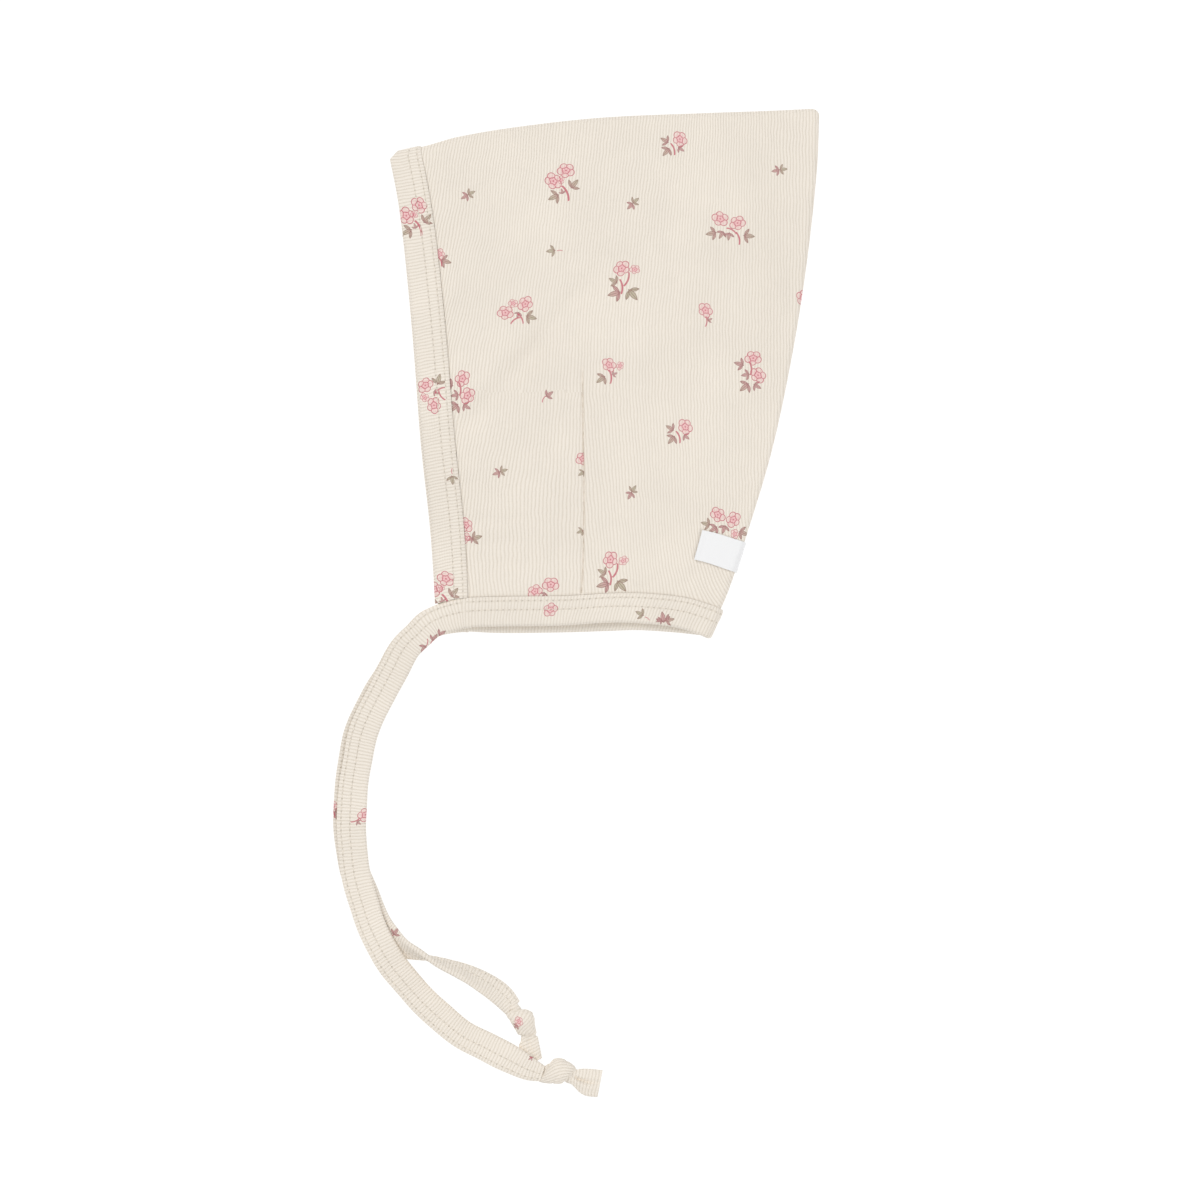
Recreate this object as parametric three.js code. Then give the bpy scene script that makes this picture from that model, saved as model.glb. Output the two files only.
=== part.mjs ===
// Pixie bonnet in rib knit, folded in half on its centre line and lying on its side.
// Millimetres, +Z up. The far side lies on the surface at z = 0 and the near side is above it.
// The face opening is at -X, the pointed tip at +X +Y, the neck at -Y.
// The origin is under the middle of the crown, on the surface that it lies on.
import * as THREE from 'three';

// Crown
const fold_length = 150;        // along the top fold, from the face edge to the tip
const face_height = 166.6;      // up the face edge, from the neck hem to the top fold
const cloth_wall = 1.0;         // rib knit
const bend_inside = 0.5;        // radius left inside the innermost layer where it folds
const crown_swell = 9;          // how far the near side stands up over a folded flat one
const corner_round = 2.4;       // rounding of the front corner of the top fold
const corner_reach = 17;        // how far along the fold that rounding runs

// Binding strip round the face and neck edges
const front_width = 11;
const neck_width = 10.4;
const strip_wall = 0.8;         // one leaf of the folded strip
const gap = 0.3;                // between two pieces that lie on each other

// Dart on each side, from the neck up
const dart_foot = 0.515;        // share of the crown's length at the neck
const dart_point = 0.449;       // and at its upper end
const dart_height = 80;
const dart_width = 2.4;
const dart_depth = 0.6;
const dart_rise = 4;            // over which the crease deepens above the band
const dart_fade = 24;           // and runs out at its point

// Label round the back seam
const label_reach = 12.6;       // from the seam, on each side
const label_height = 10.7;
const label_rise = 28;          // from the neck edge to the label's middle
const label_wall = 0.5;
const label_slope = 0.04;       // rise over its reach, to stand square to the seam

// Ties and their knots
const tie_width = 10;
const tie_wall = 2;
const floor_gap = 0.1;
const tie_steps = 46;
const knot_length = 11.5;
const knot_width = 9.6;
const knot_height = 8;
const tail_length = 9;
const tail_width = 9;

// What follows from the sizes
const strip_stack = gap + strip_wall;
const fold_radius = cloth_wall + strip_stack + bend_inside;
const pinch_height = 2 * (cloth_wall + strip_stack) + bend_inside;
const label_stack = gap + label_wall;
const core_left = -fold_length / 2 + strip_stack;
const core_right = fold_length / 2 - fold_radius;
const core_bottom = -face_height / 2 + strip_stack;
const core_top = face_height / 2 - fold_radius - strip_stack;

// The edges of one side, as shares of the length and height between the edges above
const face_edge = [
  { along: 0.00, near: 0.113, far: 0.110 },
  { along: 0.20, near: 0.102, far: 0.096 },
  { along: 0.40, near: 0.079, far: 0.072 },
  { along: 0.60, near: 0.061, far: 0.055 },
  { along: 0.80, near: 0.038, far: 0.034 },
  { along: 0.92, near: 0.018, far: 0.017 },
  { along: 1.00, near: 0.000, far: 0.000 },
];
const neck_edge = [
  { along: 0.00, near: -0.014, far: -0.015 },
  { along: 0.06, near: -0.005, far: -0.011 },
  { along: 0.22, near: -0.001, far: -0.015 },
  { along: 0.46, near: 0.001, far: -0.014 },
  { along: 0.64, near: 0.007, far: -0.011 },
  { along: 0.76, near: 0.006, far: -0.009 },
  { along: 0.90, near: -0.003, far: -0.014 },
  { along: 1.00, near: -0.020, far: -0.020 },
];
const back_edge = [
  { along: 0.00, out: 0.737 },
  { along: 0.08, out: 0.782 },
  { along: 0.17, out: 0.819 },
  { along: 0.35, out: 0.886 },
  { along: 0.54, out: 0.936 },
  { along: 0.72, out: 0.971 },
  { along: 0.90, out: 0.995 },
  { along: 1.00, out: 1.000 },
];
const top_fold = [
  { along: 0.00, up: 0.994 },
  { along: 0.08, up: 1.008 },
  { along: 0.16, up: 1.029 },
  { along: 0.30, up: 1.051 },
  { along: 0.50, up: 1.072 },
  { along: 0.74, up: 1.083 },
  { along: 0.90, up: 1.089 },
  { along: 1.00, up: 1.094 },
];

// How the layers part: shares of the swell lost towards the face and neck openings
const face_droop = 0.4;
const neck_droop = 0.45;
const pinch_reach = 0.22;       // share of the height round which the tie corner is pressed flat

// How the far side comes down to the surface past the strips and the label under it
const lift_margin = 2;
const strip_fade = 18;
const label_fade = 13;

// Ties: centre lines from the middle of the band's end, in mm to the right and up,
// layer 0 lies on the surface and layer 1 on another tie, roll is the twist in degrees, and
// wide is the share of the width left where it is gathered
const near_route = [
  { right: 0, up: 0, layer: 1.9, roll: 0, wide: 1 },
  { right: -3.4, up: -1, layer: 1.8, roll: 0, wide: 1 },
  { right: -7, up: -3.8, layer: 1.5, roll: 0, wide: 1 },
  { right: -10.5, up: -10.2, layer: 1.2, roll: 0, wide: 1 },
  { right: -15, up: -18, layer: 1, roll: 0, wide: 1 },
  { right: -19.2, up: -25.9, layer: 1, roll: 0, wide: 1 },
  { right: -23.2, up: -33.3, layer: 1, roll: 0, wide: 1 },
  { right: -25.7, up: -40.4, layer: 1, roll: 0, wide: 1 },
  { right: -27.8, up: -50.4, layer: 1, roll: 0, wide: 1 },
  { right: -29.5, up: -62, layer: 1, roll: 0, wide: 1 },
  { right: -29.9, up: -69.3, layer: 1, roll: 0, wide: 1 },
  { right: -29.5, up: -77.9, layer: 1, roll: 0, wide: 1 },
  { right: -28.5, up: -87.2, layer: 1, roll: 0, wide: 1 },
  { right: -25.7, up: -99.2, layer: 1.2, roll: 0, wide: 1 },
  { right: -22.2, up: -108.5, layer: 1.9, roll: 0, wide: 1 },
  { right: -17.8, up: -116.7, layer: 2.2, roll: 0, wide: 1 },
  { right: -12.9, up: -123.9, layer: 1.4, roll: 0, wide: 1 },
  { right: -6.8, up: -131.6, layer: 0.5, roll: 0, wide: 1 },
  { right: 1.3, up: -139.5, layer: 0.05, roll: 0, wide: 1 },
  { right: 9, up: -145.3, layer: 0.1, roll: 0, wide: 1 },
  { right: 17, up: -149.5, layer: 0.6, roll: 0, wide: 1 },
  { right: 24.7, up: -153.1, layer: 1.1, roll: 0, wide: 1 },
  { right: 32.1, up: -156.6, layer: 1.2, roll: 0, wide: 1 },
  { right: 36.6, up: -158.6, layer: 1.2, roll: 0, wide: 1 },
];
const far_route = [
  { right: 0, up: 0, layer: 0.3, roll: 0, wide: 1 },
  { right: -3.4, up: -1, layer: 0.2, roll: 0, wide: 1 },
  { right: -7, up: -3.8, layer: 0.05, roll: 0, wide: 1 },
  { right: -11, up: -11.1, layer: 0, roll: 0, wide: 1 },
  { right: -16.6, up: -20.5, layer: 0, roll: 0, wide: 1 },
  { right: -20.5, up: -26.5, layer: 0, roll: 0, wide: 1 },
  { right: -24.3, up: -33.8, layer: 0, roll: 0, wide: 1 },
  { right: -26.8, up: -40.8, layer: 0, roll: 0, wide: 1 },
  { right: -28.9, up: -50.6, layer: 0, roll: 0, wide: 1 },
  { right: -30.3, up: -62.2, layer: 0, roll: 0, wide: 1 },
  { right: -30.6, up: -69.5, layer: 0, roll: 0, wide: 1 },
  { right: -29.9, up: -78.3, layer: 0, roll: 0, wide: 1 },
  { right: -28.2, up: -87.4, layer: 0, roll: 0, wide: 1 },
  { right: -25.3, up: -95.3, layer: 0, roll: 0, wide: 1 },
  { right: -22.6, up: -102, layer: 0, roll: 4, wide: 1 },
  { right: -18.6, up: -108.8, layer: 0, roll: 14, wide: 1 },
  { right: -12.6, up: -114, layer: 0, roll: 40, wide: 1 },
  { right: -5.6, up: -117, layer: 0, roll: 72, wide: 1 },
  { right: 0.9, up: -119.6, layer: 0, roll: 98, wide: 0.95 },
  { right: 7.2, up: -122, layer: 0, roll: 118, wide: 0.88 },
  { right: 13.5, up: -124.8, layer: 0, roll: 133, wide: 0.82 },
  { right: 19.1, up: -128.3, layer: 0, roll: 142, wide: 0.78 },
  { right: 23.8, up: -132.2, layer: 0, roll: 148, wide: 0.75 },
  { right: 27, up: -135.7, layer: 0, roll: 150, wide: 0.72 },
];

// Knot and tail, from the end of the tie: shares of the knot's length, width and height,
// and of the tail's, with the turn of the axis from the tie's own direction in degrees
const knot_form = [
  { along: 0.00, wide: 0.80, high: 0.34 },
  { along: 0.12, wide: 0.94, high: 0.72 },
  { along: 0.32, wide: 1.00, high: 0.98 },
  { along: 0.55, wide: 1.00, high: 1.00 },
  { along: 0.78, wide: 0.86, high: 0.86 },
  { along: 1.00, wide: 0.55, high: 0.58 },
];
const tail_form = [
  { along: 0.18, wide: 0.62, high: 1.50 },
  { along: 0.45, wide: 0.84, high: 1.05 },
  { along: 0.75, wide: 0.98, high: 1.00 },
  { along: 1.00, wide: 1.00, high: 1.00 },
];
const near_knot_turn = 14;
const far_knot_turn = -30;
const far_tail_share = 1.15;    // the far tail is this much of the near one

// Stations along the cloth: shares of the length, shares of the height, and turns in degrees
const dart_step = 0.45;
const length_steps = [
  0, 0.04, 0.08, 0.15, 0.23, 0.31, 0.38, 0.432, dart_step, 0.468, 0.54, 0.62, 0.7, 0.78, 0.86, 0.93, 1,
];
const height_steps = [0, 0.035, 0.065, 0.13, 0.21, 0.3, 0.39, 0.48, 0.57, 0.66, 0.75, 0.83, 0.9, 0.96, 1];
const fold_turns = [-90, -45, 0, 45, 90];
const seam_turns = [90, 45, 0];

const radians = THREE.MathUtils.degToRad;
const mix = THREE.MathUtils.lerp;
const clamp = THREE.MathUtils.clamp;

// A smooth value from a table at a share, carried on straight past both ends
function read(table, column, share) {
  const last = table.length - 1;
  let row = 0;
  while (row < last - 1 && share > table[row + 1].along) row += 1;
  const slopes = table.map((entry, place) => {
    const before = table[Math.max(place - 1, 0)];
    const after = table[Math.min(place + 1, last)];
    return (after[column] - before[column]) / (after.along - before.along);
  });
  const start = table[row];
  const end = table[row + 1];
  if (share <= start.along) return start[column] + slopes[row] * (share - start.along);
  if (share >= end.along) return end[column] + slopes[row + 1] * (share - end.along);
  const span = end.along - start.along;
  const t = (share - start.along) / span;
  const bend = t * t * (3 - 2 * t);
  const rise = t * (1 - t) * (1 - t) * span * slopes[row];
  const fall = t * t * (1 - t) * span * slopes[row + 1];
  return mix(start[column], end[column], bend) + rise - fall;
}

// The edges of a side as plan points of shares
function edgesOf(side) {
  const neck = (u) => {
    const left = read(face_edge, side, 0);
    const right = read(back_edge, 'out', 0);
    return [mix(left, right, u), read(neck_edge, side, u)];
  };
  const fold = (u) => [u, read(top_fold, 'up', u)];
  const front = (v) => [read(face_edge, side, v), mix(read(neck_edge, side, 0), 1, v)];
  const back = (v) => {
    const low = read(neck_edge, side, 1);
    const high = read(top_fold, 'up', 1);
    return [read(back_edge, 'out', v), mix(low, high, v)];
  };
  return { neck, fold, front, back };
}
const sides = { near: edgesOf('near'), far: edgesOf('far') };

// Plan point of the cloth at u along its length and v up its height
function plan(side, u, v) {
  const { neck, fold, front, back } = sides[side];
  const [low, high, left, right] = [neck(u), fold(u), front(v), back(v)];
  const corners = [neck(0), neck(1), fold(0), fold(1)];
  const blend = [0, 1].map((axis) => {
    const across = mix(low[axis], high[axis], v) + mix(left[axis], right[axis], u);
    const bottom = mix(corners[0][axis], corners[1][axis], u);
    const top = mix(corners[2][axis], corners[3][axis], u);
    return across - mix(bottom, top, v);
  });
  return [mix(core_left, core_right, blend[0]), mix(core_bottom, core_top, blend[1])];
}

// Length of the cloth across and up at a place, to turn millimetres into shares
function spanAcross(side, v) {
  const [start, end] = [plan(side, 0, v), plan(side, 1, v)];
  return Math.hypot(end[0] - start[0], end[1] - start[1]);
}
function spanUp(side, u) {
  const [start, end] = [plan(side, u, 0), plan(side, u, 1)];
  return Math.hypot(end[0] - start[0], end[1] - start[1]);
}

// Unit plan direction that points out of the folded edge at the top or the back
function outward(edge, share) {
  const step = 0.01;
  const at = (t) => (edge === 'fold' ? plan('near', t, 1) : plan('near', 1, t));
  const [before, after] = [at(share - step), at(share + step)];
  const run = [after[0] - before[0], after[1] - before[1]];
  const size = Math.hypot(...run);
  return edge === 'fold' ? [-run[1] / size, run[0] / size] : [run[1] / size, -run[0] / size];
}

// 1 within a distance, falling smoothly to 0 over the fade
function within(distance, reach, fade) {
  return 1 - THREE.MathUtils.smoothstep(distance, reach, reach + fade);
}

// How high the far side is held by the strips and the label that lie under it
function liftUnder(u, v) {
  const from_face = u * spanAcross('far', v);
  const from_neck = v * spanUp('far', u);
  const from_back = (1 - u) * spanAcross('far', v);
  const from_label = Math.abs(from_neck - label_rise - from_back * label_slope);
  const face_strip = within(from_face, front_width, strip_fade);
  const neck_strip = within(from_neck, neck_width, strip_fade);
  const strips = Math.max(face_strip, neck_strip);
  const label_end = within(from_back, label_reach + lift_margin, label_fade);
  const label = label_end * within(from_label, label_height / 2 + lift_margin, label_fade);
  return Math.max(strips * strip_stack, label * label_stack);
}

// Outside height of the folded crown, from the far face up to the near face
function thickness(u, v) {
  const along = (1 - u ** 4) * (1 - face_droop * (1 - u) ** 3);
  const up = (1 - v ** 4) * (1 - neck_droop * (1 - v) ** 3);
  const from_corner = Math.hypot(u * fold_length, v * face_height) / (pinch_reach * face_height);
  const pinch = Math.exp(-from_corner * from_corner);
  return mix(2 * fold_radius + crown_swell * along * up, pinch_height, pinch);
}

// Share of the crown's length at which the dart runs
function dartLine(side, v) {
  return mix(dart_foot, dart_point, clamp((v * spanUp(side, dart_foot)) / dart_height, 0, 1));
}

// A length station moved over so that one of them follows the dart
function besideDart(side, step, v) {
  const line = dartLine(side, v);
  return step < dart_step ? (step * line) / dart_step : 1 - ((1 - step) * (1 - line)) / (1 - dart_step);
}

// Depth of the dart's crease at a place
function dartDepth(side, u, v) {
  const from_line = Math.abs(u - dartLine(side, v)) * spanAcross(side, v);
  const from_neck = v * spanUp(side, u);
  const above_band = THREE.MathUtils.smoothstep(from_neck, neck_width, neck_width + dart_rise);
  const below_point = within(from_neck, dart_height - dart_fade, dart_fade);
  return dart_depth * Math.max(0, 1 - from_line / dart_width) * above_band * below_point;
}

// A point of the cloth's outer face, moved out by a distance. The turn goes round the
// top fold, from -90 on the far side to 90 on the near side, and the swing round the back
// seam, from 90 where the side is flat to 0 at the seam's outermost line.
function clothPoint({ u, v, turn, swing = 90 }, out) {
  const side = turn > 0 ? 'near' : 'far';
  const [x, y] = plan(side, u, v);
  const up = outward('fold', u);
  const back = outward('back', v);
  const reach = fold_radius + out;
  const over = Math.sin(radians(swing)) * Math.cos(radians(turn));
  const behind = Math.cos(radians(swing));
  const rise = Math.sin(radians(swing)) * Math.sin(radians(turn));
  const rounding = corner_round * Math.cos(radians(turn)) * Math.max(0, 1 - (u * fold_length) / corner_reach) ** 2;
  const crease = swing === 90 ? dartDepth(side, u, v) : 0;
  const under = liftUnder(u, v) + fold_radius;
  const middle = side === 'near' ? under + thickness(u, v) - 2 * fold_radius - crease : under + crease;
  return [
    x + reach * (up[0] * over + back[0] * behind) + rounding,
    y + reach * (up[1] * over + back[1] * behind),
    middle + reach * rise,
  ];
}

// Collects triangles between points, drops empty ones, and turns them to face outwards
class Skin {
  constructor() {
    this.points = [];
    this.keys = new Map();
    this.faces = [];
  }

  index(point) {
    const key = point.map((value) => Math.round(value * 1e5)).join();
    if (!this.keys.has(key)) {
      this.keys.set(key, this.points.length);
      this.points.push(point);
    }
    return this.keys.get(key);
  }

  triangle(a, b, c) {
    const face = [a, b, c].map((point) => this.index(point));
    if (new Set(face).size === 3) this.faces.push(face);
  }

  quad(a, b, c, d) {
    this.triangle(a, b, c);
    this.triangle(a, c, d);
  }

  // Joins each row of points to the next one
  rows(rows, closed = false) {
    for (let row = 0; row + 1 < rows.length; row += 1) {
      const count = rows[row].length;
      for (let place = 0; place < (closed ? count : count - 1); place += 1) {
        const next = (place + 1) % count;
        this.quad(rows[row][place], rows[row + 1][place], rows[row + 1][next], rows[row][next]);
      }
    }
    return this;
  }

  geometry() {
    const flat = this.faces.map((face) => face.map((place) => new THREE.Vector3(...this.points[place])));
    const volume = flat.reduce((sum, [a, b, c]) => sum + a.dot(b.clone().cross(c)), 0);
    const faces = volume < 0 ? this.faces.map(([a, b, c]) => [a, c, b]) : this.faces;
    const geometry = new THREE.BufferGeometry();
    geometry.setAttribute('position', new THREE.Float32BufferAttribute(this.points.flat(), 3));
    geometry.setIndex(faces.flat());
    geometry.computeVertexNormals();
    return geometry;
  }
}

// A solid between closed sections, with both ends closed by the same list of triangles
function sweepSections(sections, endFaces) {
  const skin = new Skin().rows(sections, true);
  for (const section of [sections[0], sections[sections.length - 1]]) {
    const away = section === sections[0];
    for (const face of endFaces) {
      const [a, b, c] = face.map((place) => section[place]);
      if (away) skin.triangle(a, b, c);
      else skin.triangle(a, c, b);
    }
  }
  return skin.geometry();
}

// Stations on one hoop of the crown: up the far side, over the fold, down the near side
function hoopStations() {
  const far = height_steps.map((v) => ({ v, turn: -90 }));
  const over = fold_turns.slice(1, -1).map((turn) => ({ v: 1, turn }));
  const near = [...height_steps].reverse().map((v) => ({ v, turn: 90 }));
  return [...far, ...over, ...near];
}

// Stations from the face to the back and round to the seam's outermost line
function lengthStations() {
  const flat = length_steps.map((u) => ({ u, swing: 90 }));
  return [...flat, ...seam_turns.slice(1).map((swing) => ({ u: 1, swing }))];
}

function crown() {
  const hoop = ({ u, swing }, out) => hoopStations().map(({ v, turn }) => (
    clothPoint({ u: besideDart(turn > 0 ? 'near' : 'far', u, v), v, turn, swing }, out)));
  const outer = lengthStations().map((station) => hoop(station, 0));
  const inner = lengthStations().map((station) => hoop(station, -cloth_wall));
  const skin = new Skin();
  skin.rows(outer);
  skin.rows(inner.map((row) => [...row].reverse()));
  skin.rows([inner[0], outer[0]]);
  skin.rows([outer.map((row) => row[0]), inner.map((row) => row[0])]);
  skin.rows([inner.map((row) => row[row.length - 1]), outer.map((row) => row[row.length - 1])]);
  return skin.geometry();
}

// Section of a strip folded round an edge: depth in from the cloth's edge, and height out
// of the cloth's outer face
function stripSection(strip_width) {
  const width = strip_width - strip_stack;
  const top = strip_stack;
  const bottom = -cloth_wall - strip_stack;
  const middle = -cloth_wall / 2;
  const bulge = 0.7;
  return [
    [width, top],
    [width / 2, top],
    [0, top],
    [-strip_stack * bulge, mix(middle, top, bulge)],
    [-strip_stack, middle],
    [-strip_stack * bulge, mix(middle, bottom, bulge)],
    [0, bottom],
    [width / 2, bottom],
    [width, bottom],
    [width, -cloth_wall - gap],
    [width / 2, -cloth_wall - gap],
    [-gap, -cloth_wall - gap],
    [-gap, gap],
    [width / 2, gap],
    [width, gap],
  ];
}
const strip_ends = [
  [0, 1, 13], [0, 13, 14], [1, 2, 13], [2, 12, 13], [2, 3, 12], [3, 4, 12], [4, 11, 12],
  [4, 5, 11], [5, 6, 11], [6, 10, 11], [6, 7, 10], [7, 9, 10], [7, 8, 9],
];

// The face strip stops where the neck strip begins, and its rows keep apart there
const row_apart = 0.02;

function frontBinding() {
  const stop = (side) => (neck_width - strip_stack + gap) / spanUp(side, 0);
  const rows = (side) => [stop(side), ...height_steps.filter((v) => v > stop(side) + row_apart)];
  const stations = [
    ...rows('far').map((v) => ({ v, turn: -90 })),
    ...fold_turns.slice(1, -1).map((turn) => ({ v: 1, turn })),
    ...rows('near').reverse().map((v) => ({ v, turn: 90 })),
  ];
  const sections = stations.map(({ v, turn }) => {
    const side = turn > 0 ? 'near' : 'far';
    const across = spanAcross(side, v);
    return stripSection(front_width).map(([depth, out]) => clothPoint({ u: depth / across, v, turn }, out));
  });
  return sweepSections(sections, strip_ends);
}

// Where the neck strip ends at the face edge, as a share past the cloth's edge
const neck_start = (side) => -strip_stack / spanAcross(side, 0);

function neckBinding() {
  const flat = (side) => [neck_start(side), ...length_steps.map((u) => besideDart(side, u, 0))];
  const turns = seam_turns.slice(1, -1);
  const stations = [
    ...flat('far').map((u) => ({ u, turn: -90, swing: 90 })),
    ...turns.map((swing) => ({ u: 1, turn: -90, swing })),
    { u: 1, turn: -90, swing: 0 },
    ...[...turns].reverse().map((swing) => ({ u: 1, turn: 90, swing })),
    ...flat('near').reverse().map((u) => ({ u, turn: 90, swing: 90 })),
  ];
  const sections = stations.map(({ u, turn, swing }) => {
    const up = spanUp(turn > 0 ? 'near' : 'far', u);
    return stripSection(neck_width).map(([depth, out]) => clothPoint({ u, v: depth / up, turn, swing }, out));
  });
  return sweepSections(sections, strip_ends);
}

function backLabel() {
  const steps = [1, 0.5, 0.1];
  const side = (turn) => steps.map((share) => ({ depth: label_reach * share, turn, swing: 90 }));
  const round = (turn) => seam_turns.slice(0, -1).map((swing) => ({ depth: 0, turn, swing }));
  const stations = [
    ...side(-90), ...round(-90), { depth: 0, turn: -90, swing: 0 }, ...round(90).reverse(), ...side(90).reverse(),
  ];
  const up = spanUp('near', 1);
  const sections = stations.map(({ depth, turn, swing }) => {
    const u = 1 - depth / spanAcross(turn > 0 ? 'near' : 'far', label_rise / up);
    const middle = label_rise + depth * label_slope;
    const edges = [middle - label_height / 2, middle + label_height / 2];
    const corner = (edge, out) => clothPoint({ u, v: edges[edge] / up, turn, swing }, out);
    return [corner(0, gap), corner(1, gap), corner(1, label_stack), corner(0, label_stack)];
  });
  return sweepSections(sections, [[0, 1, 2], [0, 2, 3]]);
}

// Flat section of a tie with rounded edges, across and up
const tie_section = [
  [0.5, 0.2], [0.44, 0.5], [-0.44, 0.5], [-0.5, 0.2], [-0.5, -0.2], [-0.44, -0.5], [0.44, -0.5], [0.5, -0.2],
];
const tie_ends = [[0, 1, 7], [1, 6, 7], [1, 2, 6], [2, 5, 6], [2, 3, 5], [3, 4, 5]];

// Middle of the neck strip's end, where a tie leaves it, and the direction square to that end
function tieStart(turn) {
  const side = turn > 0 ? 'near' : 'far';
  const u = neck_start(side);
  const endAt = (share) => {
    const depth = share * neck_width - strip_stack;
    return new THREE.Vector3(...clothPoint({ u, v: depth / spanUp(side, 0), turn }, -cloth_wall / 2));
  };
  const [low, middle, high] = [0, 0.5, 1].map(endAt);
  const ahead = new THREE.Vector3(low.y - high.y, high.x - low.x, 0).normalize();
  return { place: middle.addScaledVector(ahead, gap), ahead };
}

// Centre line of a tie: the height follows from the layer and from how far it is rolled
function tiePath(route, start) {
  const points = route.map(({ right, up, layer, roll, wide }, place) => {
    const turn = radians(roll);
    const half = (Math.abs(Math.sin(turn)) * wide * tie_width + Math.abs(Math.cos(turn)) * tie_wall) / 2;
    const height = floor_gap + half + layer * (tie_wall + gap);
    const level = place === 0 ? start.place.z : height;
    return new THREE.Vector3(start.place.x + right, start.place.y + up, level);
  });
  return new THREE.CatmullRomCurve3(points, false, 'centripetal');
}

// Frames along a tie: its place, its direction, its width direction and its flat's direction
function tieFrames(route, start, steps) {
  const path = tiePath(route, start);
  const last = route.length - 1;
  const frames = [];
  for (let step = 0; step <= steps; step += 1) {
    const share = step / steps;
    const place = path.getPoint(share);
    const ahead = step === 0 ? start.ahead : path.getTangent(share);
    const row = Math.min(Math.floor(share * last), last - 1);
    const between = (column) => mix(route[row][column], route[row + 1][column], share * last - row);
    const level = new THREE.Vector3(0, 0, 1).cross(ahead).normalize();
    const across = level.clone().applyAxisAngle(ahead, radians(between('roll')));
    const width = tie_width * between('wide');
    frames.push({ place, ahead, across, flat: ahead.clone().cross(across), width });
  }
  return frames;
}

function sectionAt({ across, flat }, width, height, shape, place) {
  return shape.map(([sideways, up]) => place.clone()
    .addScaledVector(across, sideways * width)
    .addScaledVector(flat, up * height)
    .toArray());
}

function tie(route, start) {
  const frames = tieFrames(route, start, tie_steps);
  const sections = frames.map((frame) => sectionAt(frame, frame.width, tie_wall, tie_section, frame.place));
  return sweepSections(sections, tie_ends);
}

// Round section with a flat underside, across and up
const knot_sides = 10;
const knot_section = Array.from({ length: knot_sides }, (_, place) => {
  const angle = ((place + 0.5) * 2 * Math.PI) / knot_sides;
  return [Math.cos(angle) / 2, Math.sin(angle) / 2];
});
const knot_ends = Array.from({ length: knot_sides - 2 }, (_, place) => [0, place + 1, place + 2]);

// The knot starts square to the tie's end, lies on the surface and turns over its first half.
// Its tail flattens out behind it.
function knot(route, start, turn, tail_share) {
  const end = tieFrames(route, start, tie_steps).pop();
  const upright = new THREE.Vector3(0, 0, 1);
  const level = end.ahead.clone().setZ(0).normalize();
  const rows = [
    ...knot_form.map(({ along, wide, high }) => (
      { along: along * knot_length, width: wide * knot_width, height: high * knot_height })),
    ...tail_form.map(({ along, wide, high }) => (
      { along: knot_length + along * tail_length * tail_share, width: wide * tail_width, height: high * tie_wall })),
  ];
  const place = end.place.clone().addScaledVector(end.ahead, gap);
  const sections = rows.map(({ along, width, height }, row) => {
    const heading = level.clone().applyAxisAngle(upright, radians(turn) * clamp((2 * along) / knot_length, 0, 1));
    place.addScaledVector(heading, along - (row === 0 ? 0 : rows[row - 1].along));
    if (row === 0) return sectionAt(end, width, height, knot_section, place);
    place.setZ(floor_gap + height / 2);
    return sectionAt({ across: upright.clone().cross(heading), flat: upright }, width, height, knot_section, place);
  });
  return sweepSections(sections, knot_ends);
}

const near_start = tieStart(90);
const far_start = tieStart(-90);

const rib_knit = () => new THREE.MeshStandardMaterial({ color: '#f0e9da', roughness: 0.9, metalness: 0 });
const woven_white = () => new THREE.MeshStandardMaterial({ color: '#f4f4f8', roughness: 0.7, metalness: 0 });

const group = new THREE.Group();

function add(name, geometry, material) {
  const mesh = new THREE.Mesh(geometry, material);
  mesh.name = name;
  group.add(mesh);
}

add('crown', crown(), rib_knit());
add('front_binding', frontBinding(), rib_knit());
add('neck_binding', neckBinding(), rib_knit());
add('back_label', backLabel(), woven_white());
add('near_tie', tie(near_route, near_start), rib_knit());
add('far_tie', tie(far_route, far_start), rib_knit());
add('near_knot', knot(near_route, near_start, near_knot_turn, 1), rib_knit());
add('far_knot', knot(far_route, far_start, far_knot_turn, far_tail_share), rib_knit());

export default group;
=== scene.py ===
# Pixie bonnet in printed rib knit, folded flat on its side with its ties laid out.
# Lengths are millimetres until a piece is placed, and Blender's are metres.
from functools import reduce
import math
import bpy
import numpy as np
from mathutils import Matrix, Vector


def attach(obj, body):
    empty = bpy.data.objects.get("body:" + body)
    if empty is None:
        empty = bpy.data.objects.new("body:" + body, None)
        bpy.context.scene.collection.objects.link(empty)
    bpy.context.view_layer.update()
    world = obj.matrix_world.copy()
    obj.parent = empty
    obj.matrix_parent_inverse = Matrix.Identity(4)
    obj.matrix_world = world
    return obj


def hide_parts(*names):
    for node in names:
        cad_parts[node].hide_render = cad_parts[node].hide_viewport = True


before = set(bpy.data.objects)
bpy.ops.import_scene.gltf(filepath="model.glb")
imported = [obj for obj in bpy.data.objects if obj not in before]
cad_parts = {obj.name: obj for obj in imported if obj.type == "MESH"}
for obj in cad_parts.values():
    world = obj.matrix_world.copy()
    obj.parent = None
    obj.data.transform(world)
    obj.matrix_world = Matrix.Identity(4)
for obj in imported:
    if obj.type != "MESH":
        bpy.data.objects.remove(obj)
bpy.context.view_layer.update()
mm = 0.001

# Camera, straight above as in the photo
photo_side = 420.0
photo_centre = (-1.75, -74.2)
camera_height = 1400.0
sensor = 36.0


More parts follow.
